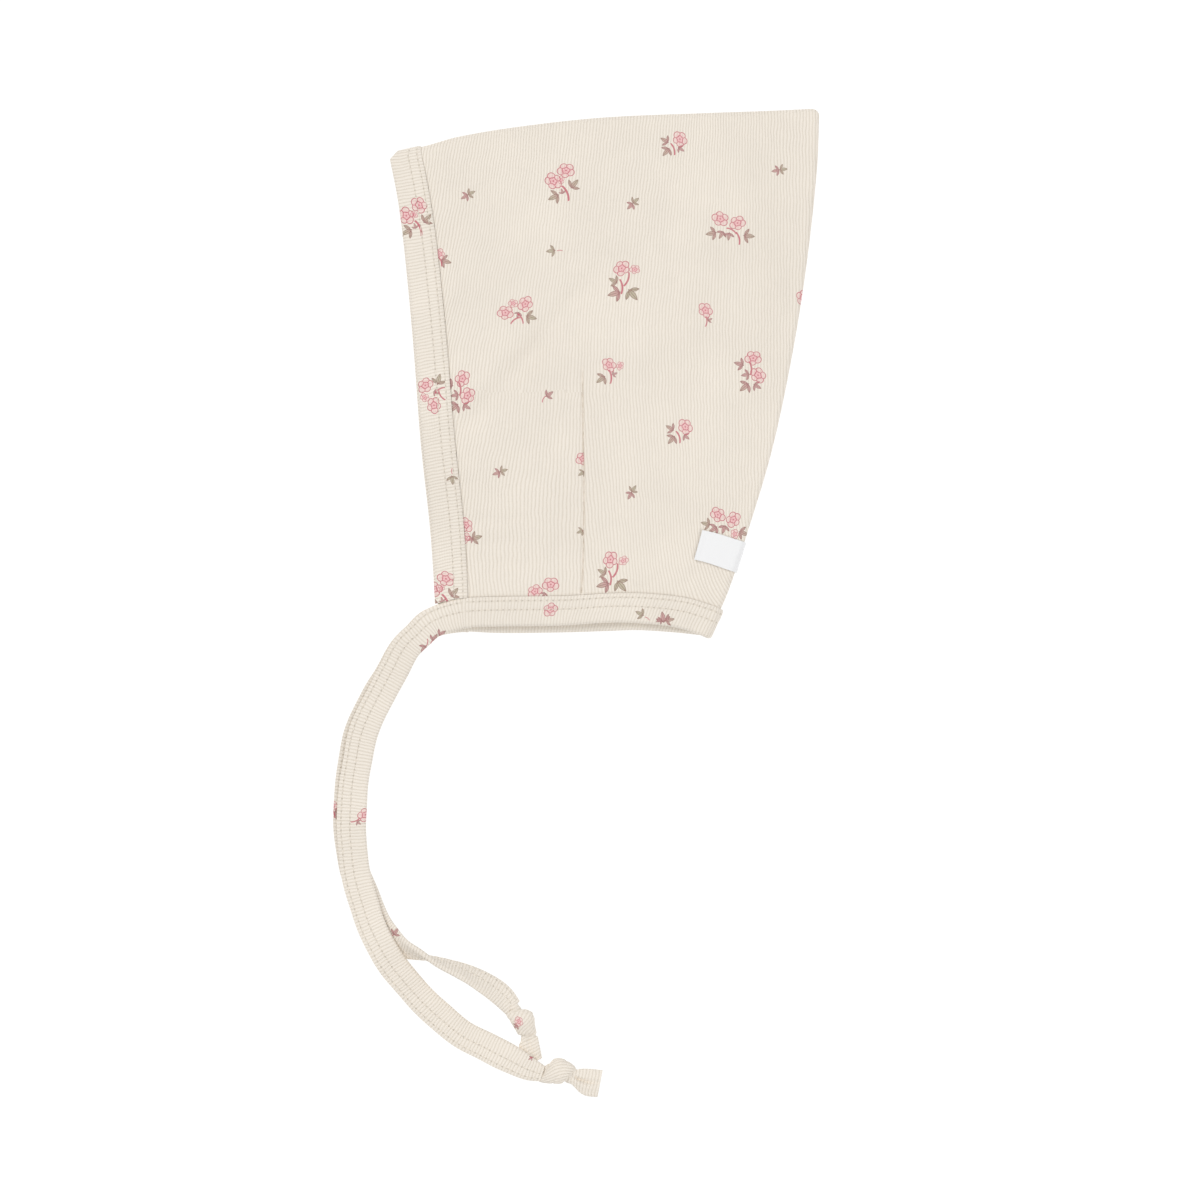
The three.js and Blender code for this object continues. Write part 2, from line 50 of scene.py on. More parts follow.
def set_camera():
    bpy.ops.object.camera_add(location=(photo_centre[0] * mm, photo_centre[1] * mm, camera_height * mm))
    camera = bpy.context.object
    camera.rotation_euler = (0.0, 0.0, 0.0)
    camera.data.sensor_width = sensor
    camera.data.lens = sensor * camera_height / photo_side
    bpy.context.scene.camera = camera


set_camera()

# Crown sizes, as the solids have them
fold_length = 150.0
face_height = 166.6
cloth_wall = 1.0
bend_inside = 0.5
crown_swell = 9.0
corner_round = 2.4
corner_reach = 17.0

# Binding strip and the gap under it
front_width = 11.0
neck_width = 10.4
strip_wall = 0.8
gap = 0.3

# Dart on each side: its foot, point and bow are shares of the length
dart_foot = 0.527
dart_point = 0.449
dart_height = 80.0
dart_bow = 0.009
dart_line_reach = 1.2

# The dart's crease, steep on its left and rolled over on its right, with its seam's puckers
crease_start = neck_width - 1.2
crease_rise = 1.0
crease_top = 96.0
crease_fade = 16.0
crease_depth = 0.8
crease_left = 0.5
crease_right = 0.25
pucker_pitch = 3.4
pucker_share = 0.4

# Label round the back seam
label_reach = 12.6
label_height = 10.7
label_rise = 27.5
label_wall = 0.5
label_slope = 0.085

# Ties
tie_width = 10.0
tie_wall = 2.0
floor_gap = 0.1

# Coverstitch: two rows of thread, the first this far in from the strip's cut edge
stitch_inset = 1.5
stitch_rows_apart = 3.1
stitch_pitch = 2.1
stitch_length = 1.75
thread_radius = 0.17
thread_lift = 0.05
row_places = (stitch_inset, stitch_inset + stitch_rows_apart)

# What follows from the sizes
strip_stack = gap + strip_wall
fold_radius = cloth_wall + strip_stack + bend_inside
pinch_height = 2 * (cloth_wall + strip_stack) + bend_inside
label_stack = gap + label_wall
core_left = -fold_length / 2 + strip_stack
core_right = fold_length / 2 - fold_radius
core_bottom = -face_height / 2 + strip_stack
core_top = face_height / 2 - fold_radius - strip_stack


def table(columns, rows):
    """Rows of numbers under the names of their columns."""
    return [dict(zip(columns.split(), row)) for row in rows]


# The edges of one side, as shares of the length and height between the edges above
face_edge = table("along near far", [
    (0.00, 0.113, 0.110), (0.20, 0.102, 0.096), (0.40, 0.079, 0.072), (0.60, 0.061, 0.055),
    (0.80, 0.038, 0.034), (0.92, 0.018, 0.017), (1.00, 0.000, 0.000),
])
neck_edge = table("along near far", [
    (0.00, -0.014, -0.015), (0.06, -0.005, -0.011), (0.22, -0.001, -0.015), (0.46, 0.001, -0.014),
    (0.64, 0.007, -0.011), (0.76, 0.006, -0.009), (0.90, -0.003, -0.014), (1.00, -0.020, -0.020),
])
back_edge = table("along out", [
    (0.00, 0.737), (0.08, 0.782), (0.17, 0.819), (0.35, 0.886), (0.54, 0.936), (0.72, 0.971), (0.90, 0.995),
    (1.00, 1.000),
])
top_fold = table("along up", [
    (0.00, 0.994), (0.08, 1.008), (0.16, 1.029), (0.30, 1.051), (0.50, 1.072), (0.74, 1.083), (0.90, 1.089),
    (1.00, 1.094),
])

# Groove in the near side along the strips' cut edges, where the stitches draw it down
groove_depth = 0.5
groove_inset = 0.25
groove_width = 0.55

# How low the near side lies at its open edges, how far in from the corner by the tip the layers are
# pinched, and how the far side comes down past what lies under it
face_droop = 0.5
neck_droop = 1.06
pinch_reach = 0.22
lift_margin = 2.0
strip_fade = 18.0
label_fade = 13.0

# Points of a new piece that lie closer than this are one
merge_distance = 0.01

# Soft folds in the near side: a valley from one place to another, its depth and half width.
# It sways by a share of its width and runs out over a share of its length.
fold_sway = 0.12
fold_sway_rate = 1.3
fold_end = 0.3
soft_folds = table("x0 y0 x1 y1 deep wide", [
    (-54, -20, -20, 15, 1.3, 4.6), (-33, 3, -1, 41, 1.4, 4.6), (-57, 45, -40, 72, 0.9, 3.4),
    (22, 76, 24, 36, 0.7, 5.5), (22, 38, 31, 24, 0.4, 5.0), (10, 27, 6, -4, 0.4, 5.0),
    (-17, -10, -15, -64, 0.5, 4.6), (0, 0, 4, -58, 0.3, 4.0), (8, 77, 38, 64, 0.35, 4.0),
    (-50, -46.5, -28, -46, 0.3, 1.7), (-50, -55, -29, -53.5, 0.3, 1.7), (-38, -61, -24, -62.5, 0.35, 2.0),
    (12, -71, 23, -63, 0.3, 1.9), (25, -71, 36, -62, 0.3, 1.9), (60, 62, 62, 8, 0.25, 4.0),
])


def read(table, column, share):
    """Smooth value from a table at a share, carried on straight past both ends."""
    at = np.array([row["along"] for row in table])
    value = np.array([row[column] for row in table])
    before = np.maximum(np.arange(len(at)) - 1, 0)
    after = np.minimum(np.arange(len(at)) + 1, len(at) - 1)
    slope = (value[after] - value[before]) / (at[after] - at[before])
    row = np.clip(np.searchsorted(at, share, side="right") - 1, 0, len(at) - 2)
    span = at[row + 1] - at[row]
    t = (share - at[row]) / span
    inside = np.clip(t, 0, 1)
    bend = inside * inside * (3 - 2 * inside)
    rise = inside * (1 - inside) ** 2 * span * slope[row]
    fall = inside ** 2 * (1 - inside) * span * slope[row + 1]
    smooth = value[row] * (1 - bend) + value[row + 1] * bend + rise - fall
    past = (t - inside) * span
    return smooth + past * np.where(t < 0, slope[row], slope[row + 1])


def mix(a, b, share):
    return a + (b - a) * share


def fade(distance, reach, width):
    """1 within a distance, falling smoothly to 0 over the width."""
    t = np.clip((distance - reach) / width, 0, 1)
    return 1 - t * t * (3 - 2 * t)


def plan(side, u, v):
    """Plan place of the cloth at u along its length and v up its height."""
    low_left, low_right = read(neck_edge, side, 0.0), read(neck_edge, side, 1.0)
    high_left, high_right = 1.0, read(top_fold, "up", 1.0)
    foot_left, foot_right = read(face_edge, side, 0.0), read(back_edge, "out", 0.0)
    neck = (mix(foot_left, foot_right, u), read(neck_edge, side, u))
    fold = (u, read(top_fold, "up", u))
    front = (read(face_edge, side, v), mix(low_left, high_left, v))
    back = (read(back_edge, "out", v), mix(low_right, high_right, v))
    corners = (
        (foot_left, low_left), (foot_right, low_right),
        (0.0, read(top_fold, "up", 0.0)), (1.0, high_right),
    )
    blend = []
    for axis in (0, 1):
        across = mix(neck[axis], fold[axis], v) + mix(front[axis], back[axis], u)
        bottom = mix(corners[0][axis], corners[1][axis], u)
        top = mix(corners[2][axis], corners[3][axis], u)
        blend.append(across - mix(bottom, top, v))
    return mix(core_left, core_right, blend[0]), mix(core_bottom, core_top, blend[1])


def span_across(side, v):
    start, end = plan(side, 0.0, v), plan(side, 1.0, v)
    return np.hypot(end[0] - start[0], end[1] - start[1])


def span_up(side, u):
    start, end = plan(side, u, 0.0), plan(side, u, 1.0)
    return np.hypot(end[0] - start[0], end[1] - start[1])


def outward(edge, share):
    """Unit plan direction out of the folded edge at the top or the back."""
    step = 0.01
    before, after = (
        plan("near", *((share + t, 1.0) if edge == "fold" else (1.0, share + t))) for t in (-step, step))
    run_x, run_y = after[0] - before[0], after[1] - before[1]
    size = np.hypot(run_x, run_y)
    return (-run_y / size, run_x / size) if edge == "fold" else (run_y / size, -run_x / size)


def lift_under(u, v):
    """How high the far side is held by the strips and the label under it."""
    from_face = u * span_across("far", v)
    from_neck = v * span_up("far", u)
    from_back = (1 - u) * span_across("far", v)
    from_label = np.abs(from_neck - label_rise - from_back * label_slope)
    strips = np.maximum(fade(from_face, front_width, strip_fade), fade(from_neck, neck_width, strip_fade))
    label = fade(from_back, label_reach + lift_margin, label_fade)
    label = label * fade(from_label, label_height / 2 + lift_margin, label_fade)
    return np.maximum(strips * strip_stack, label * label_stack)


def thickness(u, v):
    """Outside height of the folded crown."""
    along = (1 - u ** 4) * (1 - face_droop * (1 - u) ** 3)
    up = (1 - v ** 4) * (1 - neck_droop * (1 - v) ** 3)
    from_corner = np.hypot(u * fold_length, v * face_height) / (pinch_reach * face_height)
    pinch = np.exp(-from_corner ** 2)
    return mix(2 * fold_radius + crown_swell * along * up, pinch_height, pinch)


def dart_line(side, v):
    """Share of the crown's length at which the dart runs."""
    share = np.clip(v * span_up(side, dart_foot) / dart_height, 0, dart_line_reach)
    return mix(dart_foot, dart_point, share) - dart_bow * 4 * share * (1 - share)


def dart_crease(side, u, v):
    """Depth of the dart's crease, steep on its left and rolled over on its right."""
    from_line = (u - dart_line(side, v)) * span_across(side, v)
    from_neck = v * span_up(side, u)
    share = 1 - fade(from_neck, crease_start, crease_rise)
    share = share * fade(from_neck, crease_top - crease_fade, crease_fade)
    left = np.exp(np.minimum(from_line, 0) / crease_left)
    right = np.exp(-np.maximum(from_line, 0) / crease_right)
    pucker = 1 + pucker_share * np.sin(2 * math.pi * from_neck / pucker_pitch)
    return crease_depth * share * pucker * np.where(from_line < 0, left, right)


def edge_groove(u, v):
    """Depth to which the stitches draw the near side down along the strips' cut edges."""
    groove = 0.0
    from_edges = (u * span_across("near", v), front_width), (v * span_up("near", u), neck_width)
    for from_edge, width in from_edges:
        groove = groove + np.exp(-((from_edge - width + strip_stack - groove_inset) / groove_width) ** 2)
    return groove_depth * groove


def fold_depth(x, y):
    """Depth of the soft folds at a plan place."""
    deep = np.zeros_like(x)
    for fold in soft_folds:
        run = np.array([fold["x1"] - fold["x0"], fold["y1"] - fold["y0"]], float)
        size = math.hypot(*run)
        run /= size
        ahead = (x - fold["x0"]) * run[0] + (y - fold["y0"]) * run[1]
        aside = (x - fold["x0"]) * run[1] - (y - fold["y0"]) * run[0]
        aside = aside + fold_sway * fold["wide"] * np.sin(ahead / fold["wide"] * fold_sway_rate)
        end = fade(np.abs(ahead - size / 2), size * fold_end, size * fold_end)
        deep += fold["deep"] * end * np.exp(-(aside / fold["wide"]) ** 2)
    return deep


def cloth_side(side, u, v, turn, swing, out):
    x, y = plan(side, u, v)
    up = outward("fold", u)
    back = outward("back", v)
    reach = fold_radius + out
    over = np.sin(np.radians(swing)) * np.cos(np.radians(turn))
    behind = np.cos(np.radians(swing))
    rise = np.sin(np.radians(swing)) * np.sin(np.radians(turn))
    from_corner = np.maximum(0, 1 - u * fold_length / corner_reach)
    rounding = corner_round * np.cos(np.radians(turn)) * from_corner ** 2
    flat = (1 - u ** 10) * (1 - v ** 10)
    crease = np.where(swing >= 90, dart_crease(side, u, v), 0.0)
    under = lift_under(u, v) + fold_radius
    if side == "near":
        groove = np.where((out == 0.0) & (turn >= 90) & (swing >= 90), edge_groove(u, v), 0.0)
        middle = under + thickness(u, v) - 2 * fold_radius - crease - flat * fold_depth(x, y) - groove
    else:
        middle = under + crease
    return np.stack([
        x + reach * (up[0] * over + back[0] * behind) + rounding,
        y + reach * (up[1] * over + back[1] * behind),
        middle + reach * rise,
    ], axis=-1)


def cloth_point(u, v, turn=90.0, swing=90.0, out=0.0):
    """Points of the cloth's outer face in mm, moved out by a distance.

    The turn goes round the top fold, from -90 on the far side to 90 on the near side, and the
    swing round the back seam, from 90 where a side is flat to 0 at the seam's outermost line.
    """
    u, v, turn, swing, out = np.broadcast_arrays(*[np.asarray(a, float) for a in (u, v, turn, swing, out)])
    near = cloth_side("near", u, v, turn, swing, out)
    far = cloth_side("far", u, v, turn, swing, out)
    return np.where((turn > 0)[..., None], near, far)


def lengths_along(points):
    """Distance run at each point of a line."""
    steps = np.linalg.norm(np.diff(points, axis=0), axis=1)
    return np.concatenate([[0.0], np.cumsum(steps)])


def unit(vectors):
    return vectors / np.linalg.norm(vectors, axis=1, keepdims=True)


def pairs(along, across):
    """Each number of one line with each of another, in rows and columns."""
    return np.stack(np.meshgrid(along, across, indexing="ij"), axis=-1)


def turned_back(x, y, degrees):
    """Coordinates along and across a direction at an angle."""
    cos, sin = math.cos(math.radians(degrees)), math.sin(math.radians(degrees))
    return x * cos + y * sin, y * cos - x * sin


def deselect():
    if bpy.context.object and bpy.context.object.mode != "OBJECT":
        bpy.ops.object.mode_set(mode="OBJECT")
    bpy.ops.object.select_all(action="DESELECT")


def fetch(items, field, width=1):
    """A field of all a mesh's items as an array, in rows where it has several numbers."""
    values = np.zeros(len(items) * width, float if width > 1 else int)
    items.foreach_get(field, values)
    return values.reshape(-1, width) if width > 1 else values


def lay_grid(name, points, knit, patch=None, patch_knit=None):
    """A grid of quads on rows of points in mm, with its knit map in mm: across and along the ribs.

    The faces that a patch marks, by their row and column, take the second knit map.
    """
    rows, columns = points.shape[:2]
    deselect()
    bpy.ops.mesh.primitive_grid_add(x_subdivisions=columns - 1, y_subdivisions=rows - 1, size=1)
    piece = bpy.context.object
    piece.name = piece.data.name = name
    mesh = piece.data
    flat = fetch(mesh.vertices, "co", 3)
    column = np.rint((flat[:, 0] + 0.5) * (columns - 1)).astype(int)
    row = np.rint((flat[:, 1] + 0.5) * (rows - 1)).astype(int)
    mesh.vertices.foreach_set("co", (points[row, column] * mm).astype(np.float32).ravel())
    corners = fetch(mesh.loops, "vertex_index")
    mapped = knit[row, column][corners]
    if patch is not None:
        cell = [index[corners].reshape(-1, 4).min(axis=1) for index in (row, column)]
        marked = np.repeat(patch[cell[0], cell[1]], 4)
        mapped[marked] = patch_knit[row, column][corners][marked]
    mesh.uv_layers[0].name = "knit"
    mesh.uv_layers[0].data.foreach_set("uv", mapped.astype(np.float32).ravel())
    mesh.update()
    return piece


def select_only(piece):
    deselect()
    piece.select_set(True)
    bpy.context.view_layer.objects.active = piece


def close_up(piece, ends=True):
    """Merges the edges that meet, fills open ends, and turns the faces outwards."""
    select_only(piece)
    bpy.ops.object.mode_set(mode="EDIT")
    bpy.ops.mesh.select_all(action="SELECT")
    bpy.ops.mesh.remove_doubles(threshold=merge_distance * mm)
    if ends:
        bpy.ops.mesh.select_all(action="DESELECT")
        bpy.ops.mesh.select_mode(type="EDGE")
        bpy.ops.mesh.select_non_manifold(extend=False)
        bpy.ops.mesh.edge_face_add()
        bpy.ops.mesh.select_mode(type="VERT")
    bpy.ops.mesh.select_all(action="SELECT")
    bpy.ops.mesh.normals_make_consistent(inside=False)
    bpy.ops.object.mode_set(mode="OBJECT")


def smooth(piece, degrees):
    select_only(piece)
    bpy.ops.object.shade_smooth_by_angle(angle=math.radians(degrees))


def finish_piece(piece, slot, *nodes):
    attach(piece, "root")
    if nodes:
        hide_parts(*nodes)


def finish_strip(piece, material, degrees, node, chart, far_chart=()):
    """Closes, prints and smooths a strip, tie or knot, which takes its node's place."""
    piece.data.materials.append(material)
    close_up(piece)
    paint_print(piece, chart, far_chart)
    smooth(piece, degrees)
    finish_piece(piece, "rib_knit", node)
    return piece


def colour(code):
    """Linear colour of an sRGB hex code."""
    parts = [int(code[place:place + 2], 16) / 255 for place in (1, 3, 5)]
    return tuple(c / 12.92 if c <= 0.04045 else ((c + 0.055) / 1.055) ** 2.4 for c in parts) + (1.0,)


def fill(tree, node, inputs):
    """Gives a node's inputs, by place or name, their values or links."""
    for place, value in inputs.items() if isinstance(inputs, dict) else enumerate(inputs):
        if isinstance(value, bpy.types.NodeSocket):
            tree.links.new(value, node.inputs[place])
        else:
            node.inputs[place].default_value = value


def add(tree, kind, inputs=(), **settings):
    """Adds one node with its inputs and settings. A kind in capitals is a Math node's operation."""
    made = tree.nodes.new("ShaderNode" + ("Math" if kind.isupper() else kind))
    if kind.isupper():
        made.operation = kind
    for name, value in settings.items():
        setattr(made, name, value)
    fill(tree, made, inputs)
    return made.outputs[0]


# Print: charts of sprigs. Each rose, leaf and stem has its place, its half size and its turn,
# and a leaf its tone from olive at 0 to rose brown at 1
sprigs = {
    "two_roses": [
        ("rose", 1.1, 4.3, 3.0, 0), ("rose", -3.3, 0.6, 3.1, 40), ("rose", -0.6, 1.0, 1.4, 10),
        ("leaf", 3.9, -0.6, 2.3, 50, 0.45), ("leaf", -3.0, -5.0, 2.4, 205, 0.4),
        ("stem", 1.2, -3.6, 2.9, -66), ("leaf", -0.2, -3.1, 1.2, 110, 1.0),
    ],
    "bud_spray": [
        ("rose", 2.0, 2.1, 2.8, 0), ("leaf", 2.3, -1.4, 1.5, -35, 1.0),
        ("leaf", -3.2, 1.6, 1.9, 150, 0.65), ("leaf", -2.7, -2.3, 2.1, 230, 0.6),
        ("stem", -0.3, -1.4, 2.2, -72),
    ],
    "star": [("leaf", 1.1, 0.3, 1.7, 5, 0.25), ("leaf", -1.3, -0.2, 1.7, 190, 0.85)],
    "wide_pair": [
        ("rose", -3.6, 3.1, 2.9, 0), ("rose", 2.4, 1.7, 2.8, 50), ("leaf", -6.6, -2.0, 2.2, 190, 0.55),
        ("leaf", -3.2, -2.4, 1.8, 240, 0.7), ("leaf", -0.6, -2.9, 1.7, 260, 0.75),
        ("leaf", 6.2, -2.8, 2.3, -5, 0.5), ("stem", 2.7, -3.6, 2.3, -75), ("stem", 0.4, -0.9, 2.0, -30),
    ],
    "olive_bud": [("leaf", -0.9, -0.1, 1.9, 188, 0.05), ("stem", 2.1, 0.0, 1.0, 0)],
    "leafy_rose": [
        ("rose", -0.5, 4.6, 2.9, 0), ("rose", 4.0, 4.2, 1.8, 80), ("stem", 1.4, 0.7, 2.6, -110),
        ("leaf", -3.3, 0.2, 2.0, 150, 0.35), ("leaf", -2.9, -4.2, 2.7, 195, 0.7),
        ("leaf", 3.2, -4.4, 2.8, -50, 0.0), ("stem", -0.6, -1.8, 2.6, -85),
    ],
    "three_roses": [
        ("rose", 2.7, 2.4, 2.8, 0), ("rose", -4.2, -0.6, 2.8, 60), ("rose", -1.5, 2.6, 1.7, 20),
        ("leaf", 4.6, -2.2, 2.3, -15, 0.3), ("stem", -0.9, -3.2, 2.0, 35), ("stem", 1.2, -2.6, 2.0, -60),
        ("leaf", 0.2, -1.3, 1.3, 250, 1.0),
    ],
    "one_rose": [
        ("rose", -0.1, 1.0, 2.7, 0), ("stem", 0.2, -2.9, 1.8, -92), ("leaf", 1.4, -2.3, 1.1, 30, 1.0),
    ],
    "rose_leaf": [
        ("rose", -0.3, 2.5, 2.6, 0), ("rose", 3.5, 2.2, 1.5, 50), ("stem", 0.2, -1.6, 2.4, -85),
        ("leaf", -3.0, -2.4, 2.2, 218, 0.4), ("leaf", 1.6, -0.6, 1.2, 20, 1.0),
    ],
    "tall_pair": [
        ("rose", 0.9, 5.1, 2.9, 0), ("rose", 2.6, -0.8, 2.9, 55), ("leaf", -3.9, 3.0, 2.1, 165, 0.85),
        ("leaf", -1.7, -0.7, 1.8, 190, 0.95), ("leaf", -2.0, -4.9, 2.4, 220, 0.7),
        ("leaf", 2.2, -4.6, 1.8, -30, 1.0), ("stem", 0.0, 1.6, 2.4, -85),
    ],
    "pink_leaf": [("leaf", 0.9, 0.7, 1.8, 35, 0.9), ("stem", -1.0, -0.9, 1.3, 60)],
    "rose_head": [("rose", 0.0, 0.0, 2.6, 0)],
    "rose_pair": [
        ("rose", 2.6, 1.2, 2.9, 0), ("rose", -2.9, -1.2, 2.6, 60), ("leaf", 0.2, -2.4, 1.3, 250, 1.0),
    ],
    "edge_rose": [
        ("rose", -0.4, 2.4, 2.6, 0), ("rose", -0.8, -2.2, 2.0, 40), ("leaf", 3.2, -2.0, 2.2, 15, 0.4),
        ("leaf", 1.0, -2.6, 1.3, 200, 0.9),
    ],
    "label_pair": [
        ("rose", -2.3, 2.0, 2.8, 0), ("rose", 3.1, 0.3, 2.8, 50), ("rose", 3.6, -4.7, 1.7, 20),
        ("leaf", -6.4, -1.2, 2.0, 165, 0.35), ("leaf", -3.8, -3.0, 2.0, 215, 0.85),
        ("leaf", -0.2, -3.0, 1.9, 250, 0.9), ("leaf", 6.6, -4.4, 2.2, -20, 0.6),
    ],
    "low_leaves": [
        ("leaf", -0.7, 0.3, 2.3, 100, 0.9), ("leaf", 1.5, -0.4, 1.9, 10, 0.6),
        ("leaf", -2.0, -0.7, 1.3, 200, 0.9),
    ],
    "thin_twig": [("stem", -0.3, 0.2, 1.4, 0), ("leaf", -1.4, -0.2, 0.9, 230, 1.0)],
    "small_leaf": [("leaf", 0.0, 0.0, 1.5, 188, 0.15)],
    "scrap": [("rose", 0.3, 0.4, 1.7, 0), ("leaf", -1.4, -1.0, 1.3, 200, 0.8)],
    "cut_spray": [
        ("leaf", 0.6, -0.6, 2.2, -15, 0.6), ("rose", -1.4, 2.0, 1.9, 0), ("stem", -1.2, -0.6, 1.8, -70),
    ],
}

# Where the sprigs lie on the near side, in mm, and their turn in degrees
crown_chart = [
    ("two_roses", -14.7, 71.0, 0), ("bud_spray", 24.1, 84.3, 0), ("star", 60.9, 75.6, 0),
    ("star", -47.6, 66.8, 20), ("star", 9.8, 63.7, 35), ("star", -36.4, -29.7, 10),
    ("star", 9.4, -36.7, 50), ("wide_pair", 43.7, 55.3, 0), ("cut_spray", -56.0, 44.1, 0),
    ("olive_bud", -17.8, 47.2, 0), ("leafy_rose", 6.3, 36.4, 0), ("three_roses", -30.4, 26.2, 0),
    ("one_rose", 35.0, 25.5, 0), ("one_rose", 70.0, 30.8, 60), ("rose_leaf", 1.7, 4.9, 0),
    ("tall_pair", 50.7, 4.9, 0), ("tall_pair", -50.4, -2.4, 0), ("pink_leaf", -20.3, -3.5, 0),
    ("bud_spray", 25.9, -16.1, 0), ("label_pair", 41.6, -46.5, 0), ("edge_rose", -48.0, -50.5, 0),
    ("leafy_rose", 2.4, -64.7, 0), ("rose_pair", -21.5, -70.0, 0),
]
# Sprigs that the dart cuts: their right part is sewn under
dart_chart = [("rose_head", -7.6, -25.0, 0), ("small_leaf", -8.1, -30.2, 25), ("small_leaf", -8.6, -50.4, 15)]
front_chart = [
    ("two_roses", -65.8, 58.8, 0), ("three_roses", -60.0, -2.4, 90), ("two_roses", -56.5, -71.1, 0),
    ("olive_bud", -53.2, -31.5, 90),
]
neck_chart = [
    ("rose_head", -19.0, -77.6, 180), ("olive_bud", 13.0, -79.4, -35), ("low_leaves", 20.9, -80.7, 0),
]
near_tie_chart = [
    ("pink_leaf", -62.6, -90.2, 200), ("pink_leaf", -60.0, -88.4, 20), ("pink_leaf", -57.8, -86.6, 0),
    ("one_rose", -84.5, -149.7, -65), ("thin_twig", -24.6, -234.4, -20),
]
far_tie_chart = [("pink_leaf", -73.6, -190.9, 20), ("cut_spray", -93.8, -148.0, 0)]
far_knot_chart = [("scrap", -30.2, -221.6, 20)]
print_slots = {"rose": 3, "leaf": 4, "stem": 2}
paint_margin = 0.8
off_print = 9.0


def chart_parts(chart):
    """Roses, leaves and stems of a chart, each with the slot that keeps it clear of its neighbours."""
    parts = []
    for kind, x, y, turn in chart:
        for what, dx, dy, size, own_turn, *tone in sprigs[kind]:
            right, up = turned_back(dx, dy, -turn)
            place = (x + right, y + up)
            tone = tone[0] if tone else 0.5 + 0.5 * math.sin(3 * x + dx)
            parts.append(dict(what=what, place=place, size=size, turn=own_turn + turn, tone=tone))
    for number, part in enumerate(parts):
        taken = set()
        for other in parts[:number]:
            apart = math.dist(part["place"], other["place"])
            if other["what"] == part["what"] and apart < part["size"] + other["size"] + 2 * paint_margin:
                taken.add(other["slot"])
        free = [slot for slot in range(print_slots[part["what"]]) if slot not in taken]
        part["slot"] = free[0] if free else None
    return [part for part in parts if part["slot"] is not None]


def paint_print(piece, chart, far_chart=(), dart_parts=()):
    """Gives each face its place within the rose, leaf or stem that is printed on it."""
    mesh = piece.data
    corner, sizes = fetch(mesh.loops, "vertex_index"), fetch(mesh.polygons, "loop_total")
    place, centre = fetch(mesh.vertices, "co", 3) / mm, fetch(mesh.polygons, "center", 3) / mm
    up = fetch(mesh.polygons, "normal", 3)[:, 2] > 0
    face = np.repeat(np.arange(len(sizes)), sizes)
    slots = {
        (what, slot): np.full((len(corner), 3), off_print)
        for what, number in print_slots.items() for slot in range(number)
    }
    layers = [(chart_parts(chart), up), (chart_parts(far_chart), ~up)]
    if dart_parts:
        layers.append((chart_parts(dart_parts), up & left_of_dart(centre[:, 0], centre[:, 1])))
    for part, side in [(part, side) for parts, side in layers for part in parts]:
        x, y = part["place"]
        near = side & (np.hypot(centre[:, 0] - x, centre[:, 1] - y) < part["size"] + paint_margin)
        hit = near[face]
        ahead, aside = turned_back(place[corner[hit], 0] - x, place[corner[hit], 1] - y, part["turn"])
        slots[part["what"], part["slot"]][hit] = np.stack(
            [ahead / part["size"], aside / part["size"], np.full(len(ahead), part["tone"])], axis=1)
    for (what, slot), values in slots.items():
        layer = mesh.attributes.new(f"{what}_{slot}", "FLOAT_VECTOR", "CORNER")
        layer.data.foreach_set("vector", values.astype(np.float32).ravel())


# Materials
rib_period = 1.12        # mm from rib to rib
course_height = 0.85     # mm from one row of knit loops to the next
knit_cream = "#EBE3D8"
knit_valley_shade = "#DDD3C4"
rose_fill = "#E9A9B0"
rose_line = "#C05C6C"
leaf_olive = "#98916C"
leaf_rose = "#B4606B"
leaf_vein = "#83504F"
needle_hole_shade = "#A89C89"
leaf_strength = 0.68
line_strength = 0.95

# The sprigs' drawing, as shares of a part's half size
line_half = 0.05
petal_out, petal_size = 0.52, 0.42
inner_out, inner_size = 0.22, 0.2
divide_half = 0.045
heart_size = 0.1
blade_width = 0.76
edge_width = 0.05
midrib_half = 0.025
stem_bow, stem_shift = 0.25, 0.12
stem_half = 0.13

# Blades of a leaf, as turn, length and how far out the foot is: the middle one, and the one at each side
blades_of_leaf = ((0.0, 1.0, 0.0), (math.radians(58), 0.72, 0.1))

# Needle holes along a stitch row, in mm, how dark the painted shade in them is, and how deep they are
hole_half_width = 0.24
hole_half_length = 0.26
hole_shade_strength = 0.42
hole_depth = 1.6

# Tape: mm from one weft thread to the next and from one warp thread to the next, drawn coarser than real
tape_weft = 0.5
tape_warp = 0.62


def left_of_dart(x, y):
    """Where a plan place lies left of the near side's dart line and below its point."""
    v = np.linspace(0, 1, 60)
    line_x, line_y = plan("near", dart_line("near", v), v)
    return (x < np.interp(y, line_y, line_x)) & (y < line_y[0] + dart_height)


def greatest(tree, sockets):
    return reduce(lambda one, other: add(tree, "MAXIMUM", [one, other]), sockets)


def product(tree, sockets):
    return reduce(lambda one, other: add(tree, "MULTIPLY", [one, other]), sockets)


def distance(tree, x, y):
    square = add(tree, "MULTIPLY_ADD", [y, y, add(tree, "MULTIPLY", [x, x])])
    return add(tree, "SQRT", [square])


def print_place(tree, what, slot):
    """A face's place within its rose, leaf or stem, and the tone kept with it."""
    spot = add(tree, "Attribute", attribute_name=f"{what}_{slot}").node.outputs["Vector"]
    return add(tree, "SeparateXYZ", [spot]).node.outputs


def knit_place(tree):
    return add(tree, "SeparateXYZ", [add(tree, "UVMap", uv_map="knit")]).node.outputs


def petal_distance(tree, radius, aside, centre):
    """Distance from the middle of the petal that lies this far out at no angle aside."""
    ahead = add(tree, "MULTIPLY", [radius, add(tree, "COSINE", [aside])])
    ahead = add(tree, "SUBTRACT", [ahead, centre])
    beside = add(tree, "MULTIPLY", [radius, add(tree, "SINE", [aside])])
    return distance(tree, ahead, beside)


